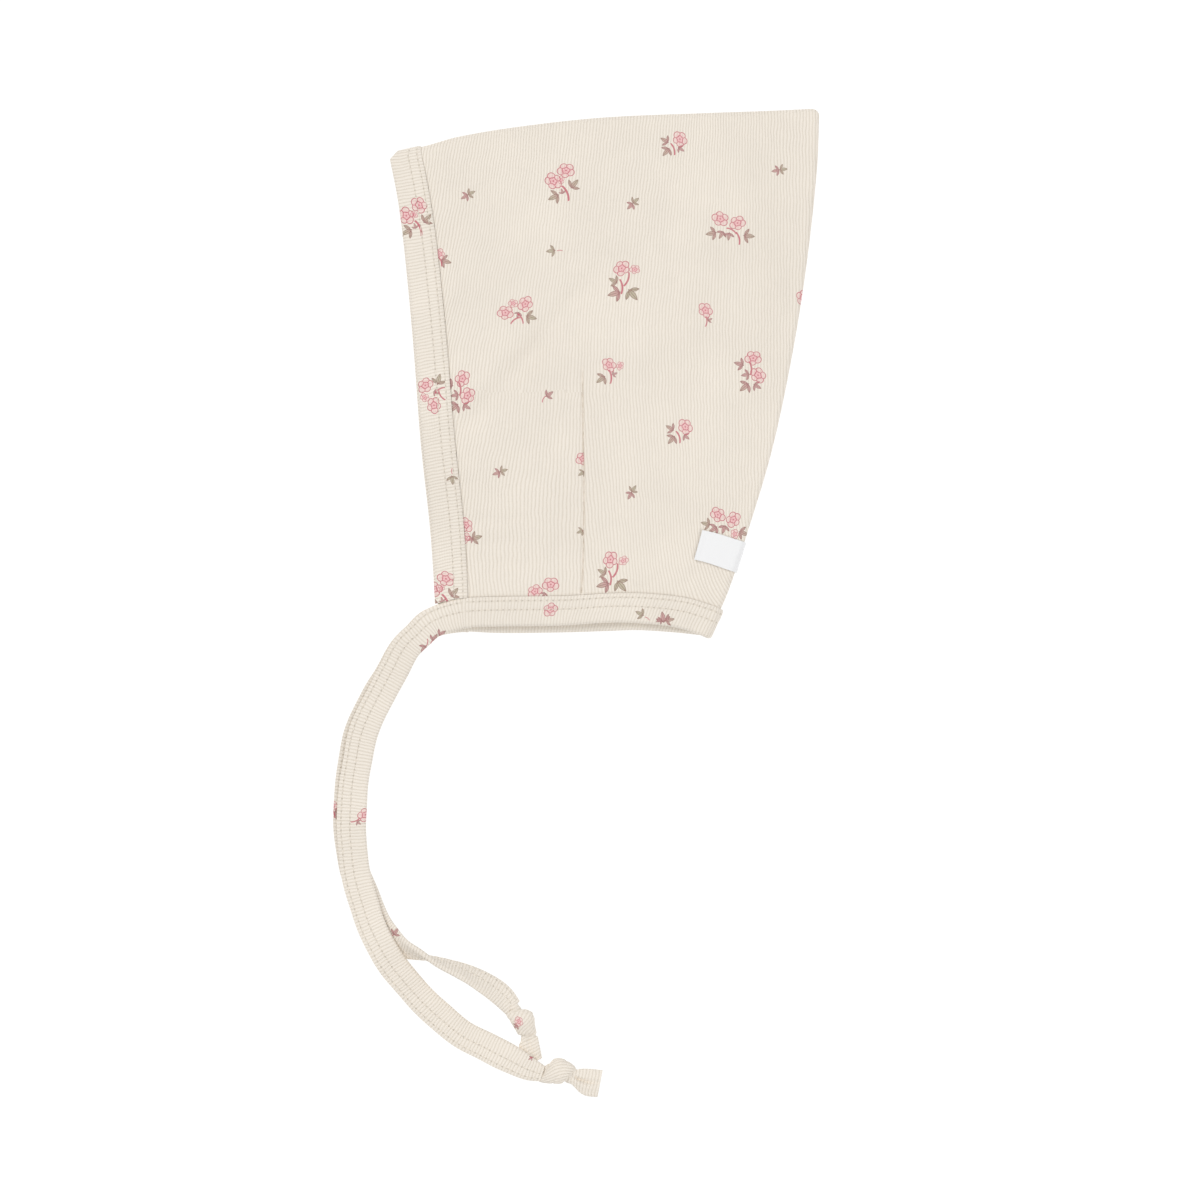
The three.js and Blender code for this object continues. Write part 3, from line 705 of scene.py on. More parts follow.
def draw_rose(tree, slot):
    """Lines and filling of a small rose: five round petals, five more within their gaps, and a heart."""
    x, y, seed = print_place(tree, "rose", slot)
    radius = distance(tree, x, y)
    angle = add(tree, "ARCTAN2", [y, x])
    angle = add(tree, "MULTIPLY_ADD", [seed, 6.0, angle])
    sway = add(tree, "SINE", [add(tree, "MULTIPLY", [angle, 2.0])])
    sway = add(tree, "MULTIPLY_ADD", [sway, 0.11, 1.02])
    radius = product(tree, [sway, radius])
    half_petal = math.pi / 5
    aside = add(tree, "PINGPONG", [angle, half_petal])
    from_gap = add(tree, "SUBTRACT", [half_petal, aside])
    outer = petal_distance(tree, radius, aside, petal_out)
    inner = petal_distance(tree, radius, from_gap, inner_out)
    outline = add(tree, "COMPARE", [outer, petal_size, line_half])
    inside = add(tree, "LESS_THAN", [outer, petal_size + 0.02])
    beyond = add(tree, "GREATER_THAN", [inner, inner_size])
    divide = add(tree, "LESS_THAN", [product(tree, [from_gap, radius]), divide_half])
    second = add(tree, "COMPARE", [inner, inner_size, line_half])
    heart = add(tree, "LESS_THAN", [radius, heart_size])
    # Deep in the heart and pale towards the petals' rims
    filling = add(tree, "MAXIMUM", [add(tree, "MULTIPLY_ADD", [radius, -0.8, 0.85]), 0.14])
    petals = product(tree, [outline, beyond]), product(tree, [divide, inside, beyond])
    return greatest(tree, [*petals, second, heart]), product(tree, [filling, inside])


def draw_leaf(tree, slot):
    """Three pointed blades from one foot, the middle one longest, with their midribs and their tone."""
    x, y, tone = print_place(tree, "leaf", slot)
    ahead = add(tree, "MULTIPLY_ADD", [x, 0.55, 0.45])
    aside = add(tree, "MULTIPLY", [add(tree, "ABSOLUTE", [y]), 0.55])
    blades, ribs = [], []
    for turn, length, foot in blades_of_leaf:
        from_foot = add(tree, "SUBTRACT", [ahead, foot])
        over = add(tree, "MULTIPLY", [aside, math.sin(turn)])
        share = add(tree, "MULTIPLY_ADD", [from_foot, math.cos(turn), over])
        share = add(tree, "DIVIDE", [share, length])
        over = add(tree, "MULTIPLY", [aside, math.cos(turn)])
        off = add(tree, "MULTIPLY_ADD", [from_foot, -math.sin(turn), over])
        off = add(tree, "ABSOLUTE", [off])
        width = product(tree, [share, add(tree, "SUBTRACT", [1.0, share])])
        width = add(tree, "MULTIPLY", [width, blade_width * length])
        blade = add(tree, "LESS_THAN", [off, width])
        blades.append(blade)
        edge = add(tree, "GREATER_THAN", [off, add(tree, "SUBTRACT", [width, edge_width])])
        midrib = add(tree, "LESS_THAN", [off, midrib_half])
        ribs.append(product(tree, [blade, greatest(tree, [midrib, edge])]))
    blade = greatest(tree, blades)
    # A leaf's tone is redder at its foot than at its tips
    tone = add(tree, "MULTIPLY_ADD", [tone, 1.7, add(tree, "MULTIPLY", [ahead, -0.9])])
    return blade, greatest(tree, ribs), product(tree, [tone, blade])


def draw_stem(tree, slot):
    """A short bent stem."""
    x, y, _ = print_place(tree, "stem", slot)
    bow = add(tree, "MULTIPLY_ADD", [add(tree, "MULTIPLY", [x, x]), -stem_bow, stem_shift])
    line = add(tree, "COMPARE", [y, bow, stem_half])
    short = add(tree, "LESS_THAN", [add(tree, "ABSOLUTE", [x]), 1.0])
    return add(tree, "MULTIPLY", [line, short])


def rib_relief(tree):
    """Height of the ribs, 1 on a rib and 0 in the valley beside it, and of the loops along it."""
    knit = add(tree, "UVMap", uv_map="knit")
    across, along, _ = add(tree, "SeparateXYZ", [knit]).node.outputs
    noise = add(tree, "TexNoise", {"Vector": knit, "Scale": 0.16, "Detail": 2.0}, noise_dimensions="2D")
    across = add(tree, "MULTIPLY_ADD", [noise, 0.9, across])
    wave = add(tree, "MULTIPLY", [across, math.pi / rib_period])
    wave = add(tree, "ABSOLUTE", [add(tree, "SINE", [wave])])
    rib = add(tree, "POWER", [wave, 0.7])
    course = add(tree, "MULTIPLY", [along, 2 * math.pi / course_height])
    course = add(tree, "MULTIPLY_ADD", [add(tree, "SINE", [course]), 0.12, 0.0])
    return rib, add(tree, "ADD", [rib, course])


def print_sprigs(tree, base, rib):
    """The print over the cloth's colour, thinner in the valleys between the ribs."""
    roses, leaves, stems = (
        [draw(tree, slot) for slot in range(print_slots[what])]
        for what, draw in (("rose", draw_rose), ("leaf", draw_leaf), ("stem", draw_stem))
    )
    blades, veins, tones = (greatest(tree, sockets) for sockets in zip(*leaves))
    fills = greatest(tree, [filling for _, filling in roses])
    lines = greatest(tree, [line for line, _ in roses] + stems)
    ink = add(tree, "MULTIPLY_ADD", [rib, 0.22, 0.70])
    leaf = add(tree, "MixRGB", [add(tree, "Clamp", [tones]), colour(leaf_olive), colour(leaf_rose)])
    for shape, strength, tint in (
        (blades, leaf_strength, leaf), (veins, leaf_strength, colour(leaf_vein)),
        (fills, None, colour(rose_fill)), (lines, line_strength, colour(rose_line)),
    ):
        if strength:
            shape = add(tree, "MULTIPLY", [product(tree, [shape, ink]), strength])
        base = add(tree, "MixRGB", [shape, base, tint])
    return base


def new_material(name):
    material = bpy.data.materials.new(name)
    material.use_nodes = True
    return material, material.node_tree, material.node_tree.nodes["Principled BSDF"]


def knit_cloth(name, printed, sewn=False):
    """Cotton rib knit: fine upright ribs that catch the light, with painted shade in their valleys, a matt
    face, and a soft bloom.

    Where it is sewn, the needle's holes show as small pits along the rows, darkened with painted shade.
    """
    material, tree, shader = new_material(name)
    rib, relief = rib_relief(tree)
    # Painted shade: the valleys between the ribs take a darker colour than the ribs' crests
    base = add(tree, "MixRGB", [rib, colour(knit_valley_shade), colour(knit_cream)])
    where = add(tree, "TexCoord").node.outputs["Object"]
    cloud = add(tree, "TexNoise", {"Vector": where, "Scale": 45.0, "Detail": 3.0})
    cloud = add(tree, "MapRange", [cloud, 0.3, 0.7, 0.97, 1.02])
    base = add(tree, "MixRGB", [1.0, base, cloud], blend_type="MULTIPLY")
    if printed:
        base = print_sprigs(tree, base, rib)
    if sewn:
        along, from_cut, _ = knit_place(tree)
        rows = [add(tree, "COMPARE", [from_cut, place, hole_half_width]) for place in row_places]
        step = add(tree, "PINGPONG", [along, stitch_pitch / 2])
        holes = product(tree, [greatest(tree, rows), add(tree, "LESS_THAN", [step, hole_half_length])])
        # Painted shade: the needle holes are darkened in colour as well as sunk by the bump
        part = add(tree, "MULTIPLY", [holes, hole_shade_strength])
        base = add(tree, "MixRGB", [part, base, colour(needle_hole_shade)])
        relief = add(tree, "MULTIPLY_ADD", [holes, -hole_depth, relief])
    fuzz = add(tree, "TexNoise", {"Vector": where, "Scale": 2600.0, "Detail": 2.0})
    bump = add(tree, "Bump", {"Strength": 0.35, "Distance": 0.0001, "Height": fuzz})
    bump = add(tree, "Bump", {"Strength": 0.65, "Distance": 0.0002, "Height": relief, "Normal": bump})
    fill(tree, shader, {
        "Base Color": base, "Normal": bump, "Roughness": 0.88, "Specular IOR Level": 0.25,
        "Sheen Weight": 0.04, "Sheen Roughness": 0.5,
    })
    return material


def sewing_thread():
    """Spun polyester thread: a little paler and smoother than the cloth, with its twist as fine bands of
    painted shade.
    """
    material, tree, shader = new_material("spun_thread")
    where = add(tree, "TexCoord").node.outputs["Object"]
    twist = add(tree, "TexWave", {"Vector": where, "Scale": 900.0, "Distortion": 2.0})
    # Painted shade: the twist's bands are drawn darker and paler in colour
    base = add(tree, "MixRGB", [twist, colour("#DED5C6"), colour("#EDE5DA")])
    fill(tree, shader, {"Base Color": base, "Roughness": 0.6})
    return material


def woven_tape():
    """Satin-woven polyester tape: bright white with a faint cool cast and a very fine close weave, drawn with
    painted shade between its threads.
    """
    material, tree, shader = new_material("woven_satin_tape")
    across, along, _ = knit_place(tree)
    threads = [
        add(tree, "SINE", [add(tree, "MULTIPLY", [way, 2 * math.pi / pitch])])
        for way, pitch in ((across, tape_weft), (along, tape_warp))
    ]
    weave = product(tree, threads)
    # Painted shade: the weave is paler where its threads lie up and darker where they dip under
    shade = add(tree, "MapRange", [weave, -1.0, 1.0, 0.0, 1.0])
    base = add(tree, "MixRGB", [shade, colour("#E7E7E8"), colour("#F0F0F0")])
    bump = add(tree, "Bump", {"Strength": 0.25, "Distance": 0.00006, "Height": weave})
    fill(tree, shader, {"Base Color": base, "Normal": bump, "Roughness": 0.5, "Sheen Weight": 0.1})
    return material


printed_knit = knit_cloth("printed_cotton_rib", True)
sewn_knit = knit_cloth("stitched_cotton_rib", True, sewn=True)
plain_knit = knit_cloth("cotton_rib_back", False)
thread = sewing_thread()
white_tape = woven_tape()

# Crown
near_rows = 152
far_rows = 70
fold_steps = 10
seam_steps = 7
seam_pinch = 0.3
seam_pinch_reach = 16.0

# Columns and rows lie closer by the dart and by the strips' cut edges, here as shares
face_cut = (0.058, 0.118)
neck_cut = (0.048, 0.072)
dart_half = 0.012
dart_columns = (-0.008, -0.005, -0.0025, 0.0, 0.0025, 0.005, 0.008)
dart_smooth = 0.02

# How much the ribs lean, in mm a mm: going up, over the dart's point, low by the seam, and by the dart
up_lean = 0.18
over_dart_lean = 0.1
by_seam_lean = 0.013
beside_dart_lean = 0.09


def rib_lean(x, y):
    """Sideways shift of the ribs in mm.

    Going up they lean right beside the binding and over the dart, waver left of the dart, and lean
    left low down by the back seam.
    """
    # Level below the dart's foot, and rising evenly above it
    height = -45 + 12 * np.log1p(np.exp((y + 35) / 12))
    lean = up_lean * height * fade(x, -60, 75)
    lean = lean + over_dart_lean * np.maximum(0, y - 22) * fade(np.abs(x - 12), 0, 50)
    lean = lean + by_seam_lean * np.maximum(0, -44 - y) ** 2 * (1 - fade(x, 5, 55))
    waves = 0.5 * np.sin(y / 11 + 1.2 * np.sin(x / 15)) + 0.3 * np.sin(y / 5.3 + x / 7)
    return waves * fade(x, -38, 30) - lean


def lean_beside_dart(x, y):
    """Sideways shift of the ribs right of the dart, which lean left going up."""
    return -beside_dart_lean * np.maximum(0, core_bottom + dart_height - y) * fade(x, -8, 60)


def build_crown():
    columns = np.concatenate([
        np.linspace(0, face_cut[0], 7), np.linspace(*face_cut, 27)[1:],
        np.linspace(face_cut[1], dart_foot - dart_half, 57)[1:], dart_foot + np.array(dart_columns),
        np.linspace(dart_foot + dart_half, 1, 68),
    ])
    swing = np.concatenate([np.full(len(columns), 90.0), np.linspace(90, 0, seam_steps + 1)[1:]])
    share = np.concatenate([columns, np.ones(seam_steps)])
    v = np.concatenate([
        np.linspace(0, neck_cut[0], 7), np.linspace(*neck_cut, 13)[1:],
        np.linspace(neck_cut[1], 1, near_rows - 18)[1:], np.ones(fold_steps - 1), np.linspace(1, 0, far_rows),
    ])
    turn = np.concatenate([
        np.full(near_rows, 90.0), np.linspace(90, -90, fold_steps + 1)[1:-1], np.full(far_rows, -90.0),
    ])
    share, v = np.meshgrid(share, v)
    swing, turn = np.meshgrid(swing, turn)
    line = np.where(turn > 0, dart_line("near", v), dart_line("far", v))
    beside = np.where(
        share < dart_foot, share * line / dart_foot, 1 - (1 - share) * (1 - line) / (1 - dart_foot))
    u = np.where(share >= 1, 1.0, beside)
    groove = -seam_pinch * np.exp(-(swing / seam_pinch_reach) ** 2)
    points = cloth_point(u, v, turn, swing, groove)
    steps = np.linalg.norm(np.diff(points, axis=0), axis=2)
    down = np.concatenate([np.zeros((1, points.shape[1])), np.cumsum(steps, axis=0)])
    # The courses run straight on over the dart's crease
    beyond = np.abs(columns - dart_foot) > dart_smooth
    for row in down:
        row[:len(columns)] = np.interp(columns, columns[beyond], row[:len(columns)][beyond])
    across = points[..., 0] + rib_lean(points[..., 0], points[..., 1])
    knit = np.stack([across + lean_beside_dart(points[..., 0], points[..., 1]), down], axis=-1)
    cells = (points[:-1, :-1] + points[1:, 1:]) / 2
    patch = left_of_dart(cells[..., 0], cells[..., 1])
    left_knit = np.stack([across + 0.5 * rib_period, down], axis=-1)
    piece = lay_grid("printed_crown", points, knit, patch, left_knit)
    for material in (printed_knit, plain_knit):
        piece.data.materials.append(material)
    close_up(piece, ends=False)
    # The far side carries the same sprigs, turned half round about a place near its middle
    turned = [(kind, 2 - x, 6 - y, turn + 180) for kind, x, y, turn in crown_chart]
    paint_print(piece, crown_chart, turned, dart_chart)
    wall = piece.modifiers.new("cloth wall", "SOLIDIFY")
    wall.thickness = cloth_wall * mm
    wall.offset = -1
    wall.material_offset = 1
    wall.material_offset_rim = 1
    bpy.ops.object.modifier_apply(modifier=wall.name)
    smooth(piece, 60)
    finish_piece(piece, "rib_knit", "crown")
    return piece


# Binding strips: heights and half widths in mm of what shapes a leaf's outer face
ridge = (0.05, 0.9)
press = (0.1, 0.5)
cut_round = (0.5, 0.55)
fold_round = (0.55, 0.45)

# Over the top fold the face strip is pressed flatter, by a share and over a length
fold_press = 0.5
fold_press_reach = 5.0

# The neck strip carries on as the ties: it leaves the neck edge here, in from the face edge
tie_leaves = 6.5


def hump(shape, distance):
    """A smooth rise of a height and half width at a distance from its middle."""
    return shape[0] * np.exp(-(distance / shape[1]) ** 2)


def leaf_height(from_cut):
    """Height of a leaf's outer face over its mean: pressed at the stitch rows, rounded at its cut edge."""
    height = hump(ridge, from_cut - sum(row_places) / 2)
    for place in row_places:
        height = height - hump(press, from_cut - place)
    return height - hump(cut_round, from_cut)


def strip_section(strip_width):
    """Section of the folded strip: depth in from the cloth's edge, height out, and way from the cut edge."""
    width = strip_width - strip_stack
    top, bottom, middle = strip_stack, -cloth_wall - strip_stack, -cloth_wall / 2
    near_cut = width - np.array([0, 0.2, 0.45, 0.75, 1.1])
    depths = np.concatenate([near_cut, np.linspace(width - 1.5, 0, 17)])
    rows = [(depth, top + leaf_height(width - depth), width - depth) for depth in depths]
    for turn in np.radians(np.linspace(0, 180, 9)[1:-1]):
        way = width + strip_stack * (math.pi / 2 - abs(turn - math.pi / 2))
        rows.append((-strip_stack * math.sin(turn), middle + (top - middle) * math.cos(turn), way))
    depths = np.linspace(0, width, 10)
    rows += [(depth, bottom - leaf_height(width - depth), width - depth) for depth in depths]
    under = [(depth, -cloth_wall - gap) for depth in (width, width / 2, 0.2)]
    over = [(depth, gap) for depth in (0.2, width / 2, width)]
    rows += [(depth, out, width - depth) for depth, out in (*under, (-gap, middle), *over)]
    return np.array([*rows, rows[0]]).T


def strip_points(stations, depth, out):
    """Points at depths in from the cloth's edge and heights out of it, a row for each station."""
    span = span_across if stations["edge"] == "face" else span_up
    out = np.asarray(out)[None, :]
    out = np.where(out > 0, out * stations["press"][:, None], out)
    share, turn, swing = (stations[name][:, None] for name in ("share", "turn", "swing"))
    reach = np.where(turn > 0, span("near", share), span("far", share))
    inward = np.asarray(depth)[None, :] / reach
    u, v = (inward, share) if stations["edge"] == "face" else (share, inward)
    return cloth_point(u, v, turn, swing, out)


def strip_run(stations, strip_width):
    """Distance along the strip at each station."""
    middle = (strip_width - strip_stack) / 2
    return lengths_along(strip_points(stations, [middle], [strip_stack])[:, 0])


def sweep_strip(name, stations, strip_width, chart, node):
    """A strip folded round the cloth's edge through its stations."""
    depth, out, from_cut = strip_section(strip_width)
    points = strip_points(stations, depth, out)
    knit = pairs(strip_run(stations, strip_width), from_cut)
    return finish_strip(lay_grid(name, points, knit), sewn_knit, 50, node, chart)


def round_seam(far, near):
    """Turn and swing of stations along the far side, round the back seam and back along the near side."""
    back = np.linspace(90, 0, seam_steps + 1)[1:]
    turn = np.concatenate([np.full(far + seam_steps, -90.0), np.full(seam_steps - 1 + near, 90.0)])
    swing = np.concatenate([np.full(far, 90.0), back, back[::-1][1:], np.full(near, 90.0)])
    return turn, swing


def front_stations(far=120, near=170):
    stop = {side: (neck_width - strip_stack + 0.05) / span_up(side, 0.0) for side in ("near", "far")}
    over = np.linspace(-90, 90, fold_steps + 1)[1:-1]
    share = np.concatenate([
        np.linspace(stop["far"], 1, far), np.ones(len(over)), np.linspace(1, stop["near"], near)])
    turn = np.concatenate([np.full(far, -90.0), over, np.full(near, 90.0)])
    pressed = 1 - fold_press * np.exp(-((1 - share) * face_height / fold_press_reach) ** 2)
    return dict(edge="face", share=share, turn=turn, swing=np.full(len(share), 90.0), press=pressed)


def neck_stations(far=90, near=140):
    start = {side: (tie_leaves + strip_stack) / span_across(side, 0.0) for side in ("near", "far")}
    turn, swing = round_seam(far, near)
    share = np.concatenate([
        np.linspace(start["far"], 1, far), np.ones(2 * seam_steps - 1), np.linspace(1, start["near"], near)])
    return dict(edge="neck", share=share, turn=turn, swing=swing, press=np.ones(len(share)))


def stitch_lines(stations, strip_width):
    """Lines of the two stitch rows on both leaves of a strip, each with the way along the strip."""
    width = strip_width - strip_stack
    run = strip_run(stations, strip_width)
    lines = []
    for place in row_places:
        height = leaf_height(place) + thread_lift
        for out in (strip_stack + height, -cloth_wall - strip_stack - height):
            lines.append((strip_points(stations, [width - place], [out])[:, 0], run))
    return lines


def sew(name, lines):
    """Rows of short raised stitches: one is modelled and copied along each line between the holes."""
    deselect()
    bpy.ops.mesh.primitive_uv_sphere_add(segments=6, ring_count=4, radius=1.0)
    one = bpy.context.object
    shape = np.array([vertex.co for vertex in one.data.vertices])
    shape = shape * (thread_radius, thread_radius, stitch_length / 2)
    faces = [tuple(polygon.vertices) for polygon in one.data.polygons]
    bpy.data.objects.remove(one)
    stitches = []
    for line, run in lines:
        centres = np.arange(stitch_pitch / 2, run[-1] - stitch_pitch / 2, stitch_pitch)
        ends = [
            np.stack([np.interp(centres + t, run, line[:, axis]) for axis in range(3)], axis=1)
            for t in (-0.5, 0.5)
        ]
        ahead = unit(ends[1] - ends[0])
        side = unit(np.cross(ahead, [0.0, 0.0, 1.0]))
        turned = np.stack([side, np.cross(side, ahead), ahead], axis=1)
        stitches.append((ends[0] + ends[1])[:, None] / 2 + shape @ turned)
    stitches = np.concatenate(stitches)
    firsts = range(0, len(stitches) * len(shape), len(shape))
    polygons = [tuple(first + index for index in face) for first in firsts for face in faces]
    mesh = bpy.data.meshes.new(name)
    mesh.from_pydata((stitches.reshape(-1, 3) * mm).tolist(), [], polygons)
    piece = bpy.data.objects.new(name, mesh)
    bpy.context.collection.objects.link(piece)
    mesh.materials.append(thread)
    close_up(piece, ends=False)
    smooth(piece, 80)
    finish_piece(piece, "rib_knit")
    return piece


# Label: the tape's end is turned under, which shows as a raised hem, and its woven edges are thicker
label_hem = 1.2
label_hem_height = 0.18
label_hem_edge = 0.25
selvage = (0.09, 0.5)
label_tight = 0.4
gap_tight = 0.8


def build_label():
    up = span_up("near", 1.0)
    depths = np.linspace(label_reach, 0.1, 26)
    turn, swing = (way[:, None] for way in round_seam(len(depths), len(depths)))
    depth = np.concatenate([depths, np.zeros(2 * seam_steps - 1), depths[::-1]])[:, None]
    rises = np.linspace(-label_height / 2, label_height / 2, 15)
    reach = np.where(turn > 0, span_across("near", label_rise / up), span_across("far", label_rise / up))
    u = 1 - depth / reach
    v = (label_rise + depth * label_slope + rises[None, :]) / up
    proud = hump(selvage, label_height / 2 - np.abs(rises))
    hem = label_hem_height * fade(label_reach - depth, label_hem, label_hem_edge)
    # The label and the gap under it are drawn in round the seam
    tight = np.cos(np.radians(swing))
    outer = cloth_point(u, v, turn, swing, label_stack * (1 - label_tight * tight) + proud + hem)
    inner = cloth_point(u, v[:, ::-1], turn, swing, gap * (1 - gap_tight * tight))
    points = np.concatenate([outer, inner, outer[:, :1]], axis=1)
    around = np.concatenate([rises, rises[::-1], rises[:1]])
    piece = lay_grid("back_tape_label", points, pairs(lengths_along(points[:, 7]), around))
    piece.data.materials.append(white_tape)
    close_up(piece)
    smooth(piece, 50)
    finish_piece(piece, "woven_label", "back_label")
    return piece


# Ties: centre lines in mm from the place where the ties leave the neck edge. Each row has its place,
# its layer, and its roll in degrees and share of the width where these aren't 0 and 1.
near_start = (-58.8, -80.7)
far_start = (-59.5, -80.7)
near_route = [
    (-1.7, -1.5, 1.75, 0, 1.02), (-6.2, -5.6, 1.5), (-10.5, -10.2, 1.2), (-15.0, -18.0, 1),
    (-19.2, -25.9, 1), (-23.2, -33.3, 1), (-25.7, -40.4, 1), (-27.8, -50.4, 1), (-29.5, -62.0, 1),
    (-29.9, -69.3, 1), (-29.5, -77.9, 1), (-28.5, -87.2, 1), (-25.7, -99.2, 1.2), (-22.2, -108.5, 1.9),
    (-17.8, -116.7, 2.2), (-12.9, -123.9, 1.4), (-6.8, -131.6, 0.5), (1.3, -139.5, 0.05),
    (9.0, -145.3, 0.1), (17.0, -149.5, 0.6), (24.7, -153.3, 1.1, 0, 0.98), (32.0, -157.2, 1.2, 0, 0.82),
    (36.9, -158.8, 1.0, 0, 0.56),
]
far_route = [
    (-1.8, -1.7, 0.15, 0, 1.02), (-6.4, -6.0, 0.05), (-11.0, -11.1, 0), (-16.6, -20.5, 0),
    (-20.5, -26.5, 0), (-24.3, -33.8, 0), (-26.8, -40.8, 0), (-28.9, -50.6, 0), (-30.3, -62.2, 0),
    (-30.6, -69.5, 0), (-29.9, -78.3, 0), (-28.2, -87.4, 0), (-25.3, -95.3, 0), (-22.6, -102.0, 0, 4, 1),
    (-18.6, -108.8, 0, 14, 1), (-12.6, -114.0, 0, 40, 1), (-5.6, -117.0, 0, 68, 1),
    (0.9, -119.6, 0, 97, 0.95), (7.2, -122.0, 0, 113, 0.92), (13.5, -124.8, 0, 126, 0.9),
    (19.1, -128.3, 0, 140, 0.88), (23.8, -132.2, 0, 154, 0.82), (27.2, -135.9, 0, 166, 0.66),
]
tie_step = 1.0
band_extra = strip_stack + cloth_wall / 2 - tie_wall / 2


def band_end(side, inward):
    """Middle of the neck strip near its end, this far inside it."""
    share = (tie_leaves + strip_stack + inward) / span_across(side, 0.0)
    depth = (neck_width - 2 * strip_stack) / 2
    turn = 90.0 if side == "near" else -90.0
    return cloth_point(share, depth / span_up(side, share), turn, 90.0, -cloth_wall / 2)


def tie_line(side, route, start):
    """Even stations along a tie: place, roll and width share, from a smooth curve through its route."""
    rows = [(*band_end(side, inward), 0, neck_width / tie_width) for inward in (3.0, -0.5)]
    for right, up, layer, *rest in route:
        roll, wide = rest or (0, 1)
        turn = math.radians(roll)
        half = (abs(math.sin(turn)) * wide * tie_width + abs(math.cos(turn)) * tie_wall) / 2
        height = floor_gap + half + layer * (tie_wall + gap)
        rows.append((start[0] + right, start[1] + up, height, roll, wide))
    rows = np.array(rows)
    rows = np.concatenate([[2 * rows[0] - rows[1]], rows, [2 * rows[-1] - rows[-2]]])
    line = []
    for a, b, c, d in zip(rows, rows[1:], rows[2:], rows[3:]):
        knots = np.cumsum([0.0] + [math.dist(p[:3], q[:3]) ** 0.5 for p, q in ((a, b), (b, c), (c, d))])
        for t in np.linspace(knots[1], knots[2], 12, endpoint=False):
            ab = mix(a, b, (t - knots[0]) / (knots[1] - knots[0]))
            bc = mix(b, c, (t - knots[1]) / (knots[2] - knots[1]))
            cd = mix(c, d, (t - knots[2]) / (knots[3] - knots[2]))
            first = mix(ab, bc, (t - knots[0]) / (knots[2] - knots[0]))
            second = mix(bc, cd, (t - knots[1]) / (knots[3] - knots[1]))
            line.append(mix(first, second, (t - knots[1]) / (knots[2] - knots[1])))
    line = np.array(line + [rows[-2]])
    run = lengths_along(line[:, :3])
    even = np.linspace(0, run[-1], int(run[-1] / tie_step) + 1)
    return np.stack([np.interp(even, run, line[:, column]) for column in range(5)], axis=1), even


def tie_frames(line):
    """Place, width direction and flat's direction at each station of a tie."""
    place = line[:, :3]
    ahead = unit(np.gradient(place, axis=0))
    level = unit(np.cross([0.0, 0.0, 1.0], ahead))
    over = np.cross(ahead, level)
    roll = np.radians(line[:, 3:4])
    across = level * np.cos(roll) + over * np.sin(roll)
    flat = over * np.cos(roll) - level * np.sin(roll)
    return place, across, flat


def tie_section():
    """Section of a folded strip lying flat: side, height and way from the cut edges, which lie parted."""
    def face(side, sign):
        from_cut = (side + 0.5) * tie_width
        rounding = hump(fold_round, (0.5 - side) * tie_width)
        return side, sign * (tie_wall / 2 + leaf_height(from_cut) - rounding), from_cut

    sides = np.concatenate([np.linspace(0.5, -0.4, 19), [-0.44, -0.475, -0.5]])
    rows = [face(side, 1) for side in sides]
    rows += [(-0.5, 0.12, 0.0), (-0.455, 0.0, 0.3), (-0.5, -0.12, 0.0)]
    rows += [face(side, -1) for side in np.linspace(-0.5, 0.5, 11)]
    rows += [(0.52, 0.0, 1.02 * tie_width), rows[0]]
    return np.array(rows).T


def build_tie(name, side_name, route, start, chart, far_chart, node):
    line, run = tie_line(side_name, route, start)
    place, across, flat = tie_frames(line)
    side, height, from_cut = tie_section()
    # The strip is as thick as the bound edge where it leaves it
    more = band_extra * fade(run, 3.0, 12.0)
    # It sways by a tenth of a mm and is a little wider and narrower by turns, as sewn strips are
    sway = 0.12 * np.sin(run / 6.1) + 0.08 * np.sin(run / 2.7 + 1)
    width = tie_width * line[:, 4] * (1 + 0.012 * np.sin(run / 4.3))
    sideways = side[None, :] * width[:, None] + sway[:, None]
    above = height[None, :] + np.where(np.abs(height) > 0.3, np.sign(height), 0)[None, :] * more[:, None]
    points = place[:, None] + across[:, None] * sideways[..., None] + flat[:, None] * above[..., None]
    grid = lay_grid(name, points, pairs(run, from_cut))
    piece = finish_strip(grid, sewn_knit, 50, node, chart, far_chart)
    lines = []
    for row in row_places:
        rise = tie_wall / 2 + leaf_height(row) + thread_lift + more
        beside = (row / tie_width - 0.5) * width + sway
        for sign in (1, -1):
            lines.append((place + across * beside[:, None] + flat * (sign * rise)[:, None], run))
    return piece, place, lines


# Knots: places in mm along the knot from the tie's end. Left and right are its outline on each side of
# that line, low is the height of its underside and high its own height, and fold its crease's depth.
near_knot_outline = table("along left right low high fold", [
    (-2.5, 2.2, -2.3, 2.4, 1.2, 0.0), (0.0, 2.3, -2.5, 1.4, 2.8, 0.0), (1.6, 4.0, -2.3, 0.6, 4.4, 0.0),
    (3.6, 5.3, -2.0, 0.1, 5.6, 0.0), (6.2, 5.4, -1.8, 0.1, 5.6, 0.0), (8.6, 4.7, -1.7, 0.1, 4.8, 0.0),
    (10.6, 4.0, -1.9, 0.1, 3.9, 0.3), (12.2, 3.8, -2.9, 0.1, 3.4, 1.4), (14.0, 4.2, -4.2, 0.1, 3.1, 1.5),
    (16.5, 4.6, -5.0, 0.1, 2.8, 1.1), (20.5, 4.9, -4.7, 0.1, 2.5, 0.5),
])
near_turn = dict(start=0.4, end=9.6, slant=1.7, crease=0.6, crease_depth=0.22, rib_turn=62)
